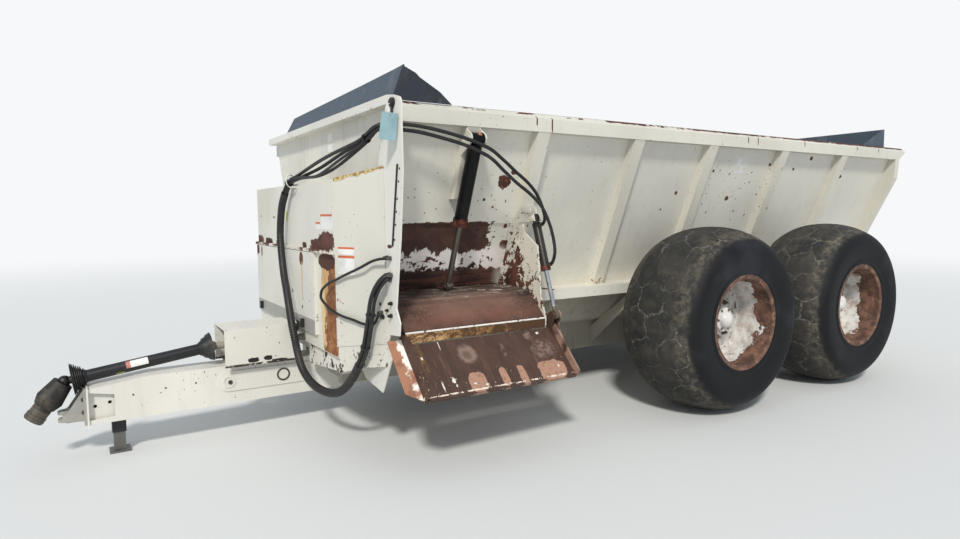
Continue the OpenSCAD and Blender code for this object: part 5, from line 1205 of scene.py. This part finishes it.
def flat_plates(shape, x, rows):
    """Thin plates on a face that looks to the front."""
    for y0, y1, z0, z1 in rows:
        shape.box((x + SUNK - PLATE, y0, z0), (x + SUNK, y1, z1))


def panel_plates(shape, rows):
    """Thin plates on the corner panel."""
    first, last = PANEL_ENDS
    along = (last - first).normalized()
    for s0, s1, z0, z1 in rows:
        corners = ((s0, z0), (s1, z0), (s1, z1), (s0, z1))
        shape.prism([first + s * along + Vector((0, 0, z)) - SUNK * PANEL_OUT for s, z in corners],
                    PLATE * PANEL_OUT)


def add_front_details():
    white = plain_finish("blank plates", (236, 235, 231), 0.4, dusty=0.12)
    orange = plain_finish("orange strips", (214, 104, 58), 0.45, dusty=0.15)
    black = plain_finish("black fittings", (24, 23, 23), 0.5, dusty=0.3)
    pale_blue = plain_finish("blue tag", (138, 170, 176), 0.6, dusty=0.35)
    yellow = plain_finish("yellow label", (206, 208, 70), 0.5, dusty=0.1)
    plates, strips, label = Shape(), Shape(), Shape()
    flat_plates(plates, COVER_X, COVER_PLATES)
    flat_plates(plates, UPPER_WALL_X, WALL_PLATES)
    flat_plates(strips, COVER_X, COVER_STRIPS)
    flat_plates(label, COVER_X, (COVER_LABEL,))
    panel_plates(plates, PANEL_PLATES)
    panel_plates(strips, PANEL_STRIPS)
    out = Vector((0, -math.cos(WALL_SLOPE), -math.sin(WALL_SLOPE)))
    wide = Vector((SIDE_PLATE_WIDE, 0, 0))
    a, b = (Vector((SIDE_PLATE_X, -wall_y(z), z)) - SUNK * out for z in (SIDE_PLATE_LOW, SIDE_PLATE_HIGH))
    plates.prism([a, a + wide, b + wide, b], PLATE * out)
    plates.piece("blank_plates", "root", "cream_paint", white)
    strips.piece("orange_strips", "root", "cream_paint", orange)
    label.piece("yellow_label", "root", "cream_paint", yellow)

    # tag, its loop and the plug on the post
    centre, out = Vector((-2.083, -1.418, 1.982)), Vector((-0.45, -0.89, 0)).normalized()
    wide, up = Vector((0.89, -0.45, 0)).normalized(), Vector((0, 0, 1))
    lean = math.radians(8)
    wide, up = wide * math.cos(lean) - up * math.sin(lean), up * math.cos(lean) + wide * math.sin(lean)
    corners = [centre + a * 0.045 * wide + b * 0.074 * up for a, b in ((-1, -1), (1, -1), (1, 1), (-1, 1))]
    Shape().prism(corners, 0.0012 * out).piece("blue_tag", "root", "cream_paint", pale_blue)
    hook, top = Vector((TANK_X0 - 0.004, POST_PLUG_Y, 2.118)), centre + 0.068 * up
    # the loop's two sides, each from the hook: its start, a place near the hook, a place near the tag
    sides = (((0, 0, 0), (-0.03, -0.004, -0.012), (-0.012, -0.012, 0.016)),
             ((0, 0.012, -0.01), (-0.03, 0.022, -0.03), (-0.004, 0.012, 0.01)))
    loop = Shape()
    for start, near, late in sides:
        path = [hook + Vector(start), hook + Vector(near), top + Vector(late), top]
        loop.tube(smooth_path(path, 0.006), LOOP_R, 8)
    loop.piece("tag_loop", "root", "guard_plastic", white)
    forward = (-1, 0, 0)
    plug_profile = [(-0.002, 0.027), (0.014, 0.027), (0.021, 0.019), (0.021, 0)]
    plug = Shape().lathe(plug_profile, (TANK_X0, POST_PLUG_Y, 2.122), forward, 20)
    plug.tube([(TANK_X0 - 0.008, POST_PLUG_Y, 2.11), (TANK_X0 - 0.01, POST_PLUG_Y - 0.002, 2.066)], 0.007, 10)
    for y, z, r, tall in POST_FITTINGS:
        profile = [(-0.003, r), (tall * 0.5, r), (tall * 0.5, r * 0.7), (tall, r * 0.7)]
        plug.lathe(profile, (TANK_X0, y, z), forward, 12)
    for y, z in POST_RIVETS:
        plug.stud((TANK_X0, y, z), forward, 0.0065, 0.004)
    for y, z in COVER_RIVETS:
        plug.stud((COVER_X, y, z), forward, 0.006, 0.004)
    # a thin bar down the post
    ends = ((-1.404, 1.781), (-1.322, 1.324), (-1.334, 1.324), (-1.416, 1.781))
    plug.prism([(TANK_X0 + 0.002, y, z) for y, z in ends], (-0.009, 0, 0))
    plug.piece("post_fittings", "root", "guard_plastic", black)

    # bolts of the tongue and the hitch, and a welded ring on the strap
    steel = plain_finish("small bolts", (86, 80, 72), 0.5, 0.5, dusty=0.5)
    ring_profile = [(-0.001, 0.046), (0.0035, 0.046), (0.0035, 0.035), (-0.001, 0.035)]
    bolts = Shape()
    for side in (-1, 1):
        outward = (0, side, 0)
        for x, z in ((-3.286, 0.377), (-3.099, 0.392), (-2.916, 0.398)):
            bolts.stud((x, side * TONGUE_HALF, z), outward, 0.006, 0.004)
        bolts.bolt((-2.7, side * STRAP_HALF, 0.372), outward, 0.01, 0.01)
        bolts.lathe(ring_profile, (-2.341, side * STRAP_HALF, 0.38), outward, 32)
    for y in (-0.075, 0.075):
        for z in (0.3, 0.38):
            bolts.bolt((HITCH_PLATE_X, y, z), forward, 0.01, 0.01)
    bolts.piece("tongue_bolts", "root", "bare_steel", steel, smooth=30)


# rings of the guard's bells: distance from the shaft's rear or front joint, radius
REAR_RINGS = ((0.006, 0.0775), (0.016, 0.0745), (0.026, 0.0715), (0.036, 0.0615), (0.046, 0.059),
              (0.056, 0.057))
FRONT_RINGS = ((0.07, 0.052), (0.055, 0.066), (0.045, 0.071), (0.034, 0.077), (0.024, 0.087),
               (0.013, 0.093), (0.004, 0.0975))
# blank label and two marks on the guard tube: start, end, turns from the left side upwards in degrees, colour
SHAFT_LABELS = (("shaft_label", 0.397, 0.500, -8, 62, (236, 234, 230)),
                ("shaft_label_end", 0.500, 0.526, -8, 62, (196, 128, 118)),
                ("shaft_mark", 0.540, 0.590, -52, -34, (150, 152, 62)))
LABEL_OUTER, LABEL_INNER = 0.0388, 0.0376
# distance from the pivot, radius
COLLAR_RING = ((0.236, 0.0535), (0.239, 0.0585), (0.25, 0.0585), (0.252, 0.056), (0.256, 0.056),
               (0.258, 0.0585), (0.27, 0.0585), (0.272, 0.0535))


def add_shaft_details():
    length = (SHAFT_FRONT - SHAFT_REAR).length
    black = plain_finish("guard rings", (20, 20, 22), 0.4, dusty=0.25)
    rings = Shape()
    for s, r in (*REAR_RINGS, *((length - s, r) for s, r in FRONT_RINGS)):
        profile = [(-0.0035, r - 0.004), (-0.0025, r + 0.0025), (0.0025, r + 0.0025), (0.0035, r - 0.004)]
        rings.lathe(profile, SHAFT_REAR + s * SHAFT_RUN, SHAFT_RUN, 36)
    rings.piece("guard_rings", "drive_shaft", "guard_plastic", black)
    left, over = Vector((0, -1, 0)), Vector((SHAFT_RUN.z, 0, -SHAFT_RUN.x))
    for name, s0, s1, t0, t1, color in SHAFT_LABELS:
        arc = [math.radians(t0 + (t1 - t0) * k / 10) for k in range(11)]
        ring = [r * (math.cos(t) * left + math.sin(t) * over)
                for r, ts in ((LABEL_OUTER, arc), (LABEL_INNER, arc[::-1])) for t in ts]
        label = Shape().prism([SHAFT_REAR + s0 * SHAFT_RUN + p for p in ring], (s1 - s0) * SHAFT_RUN)
        label.piece(name, "drive_shaft", "guard_plastic", plain_finish(name, color, 0.45, dusty=0.15))
    steel = plain_finish("collar ring", (96, 90, 80), 0.5, 0.4, dusty=0.5)
    ring = Shape().lathe(COLLAR_RING, END_PIVOT, END_RUN, 36)
    ring.piece("collar_ring", "drive_end", "bare_steel", steel)


add_front_details()
add_shaft_details()
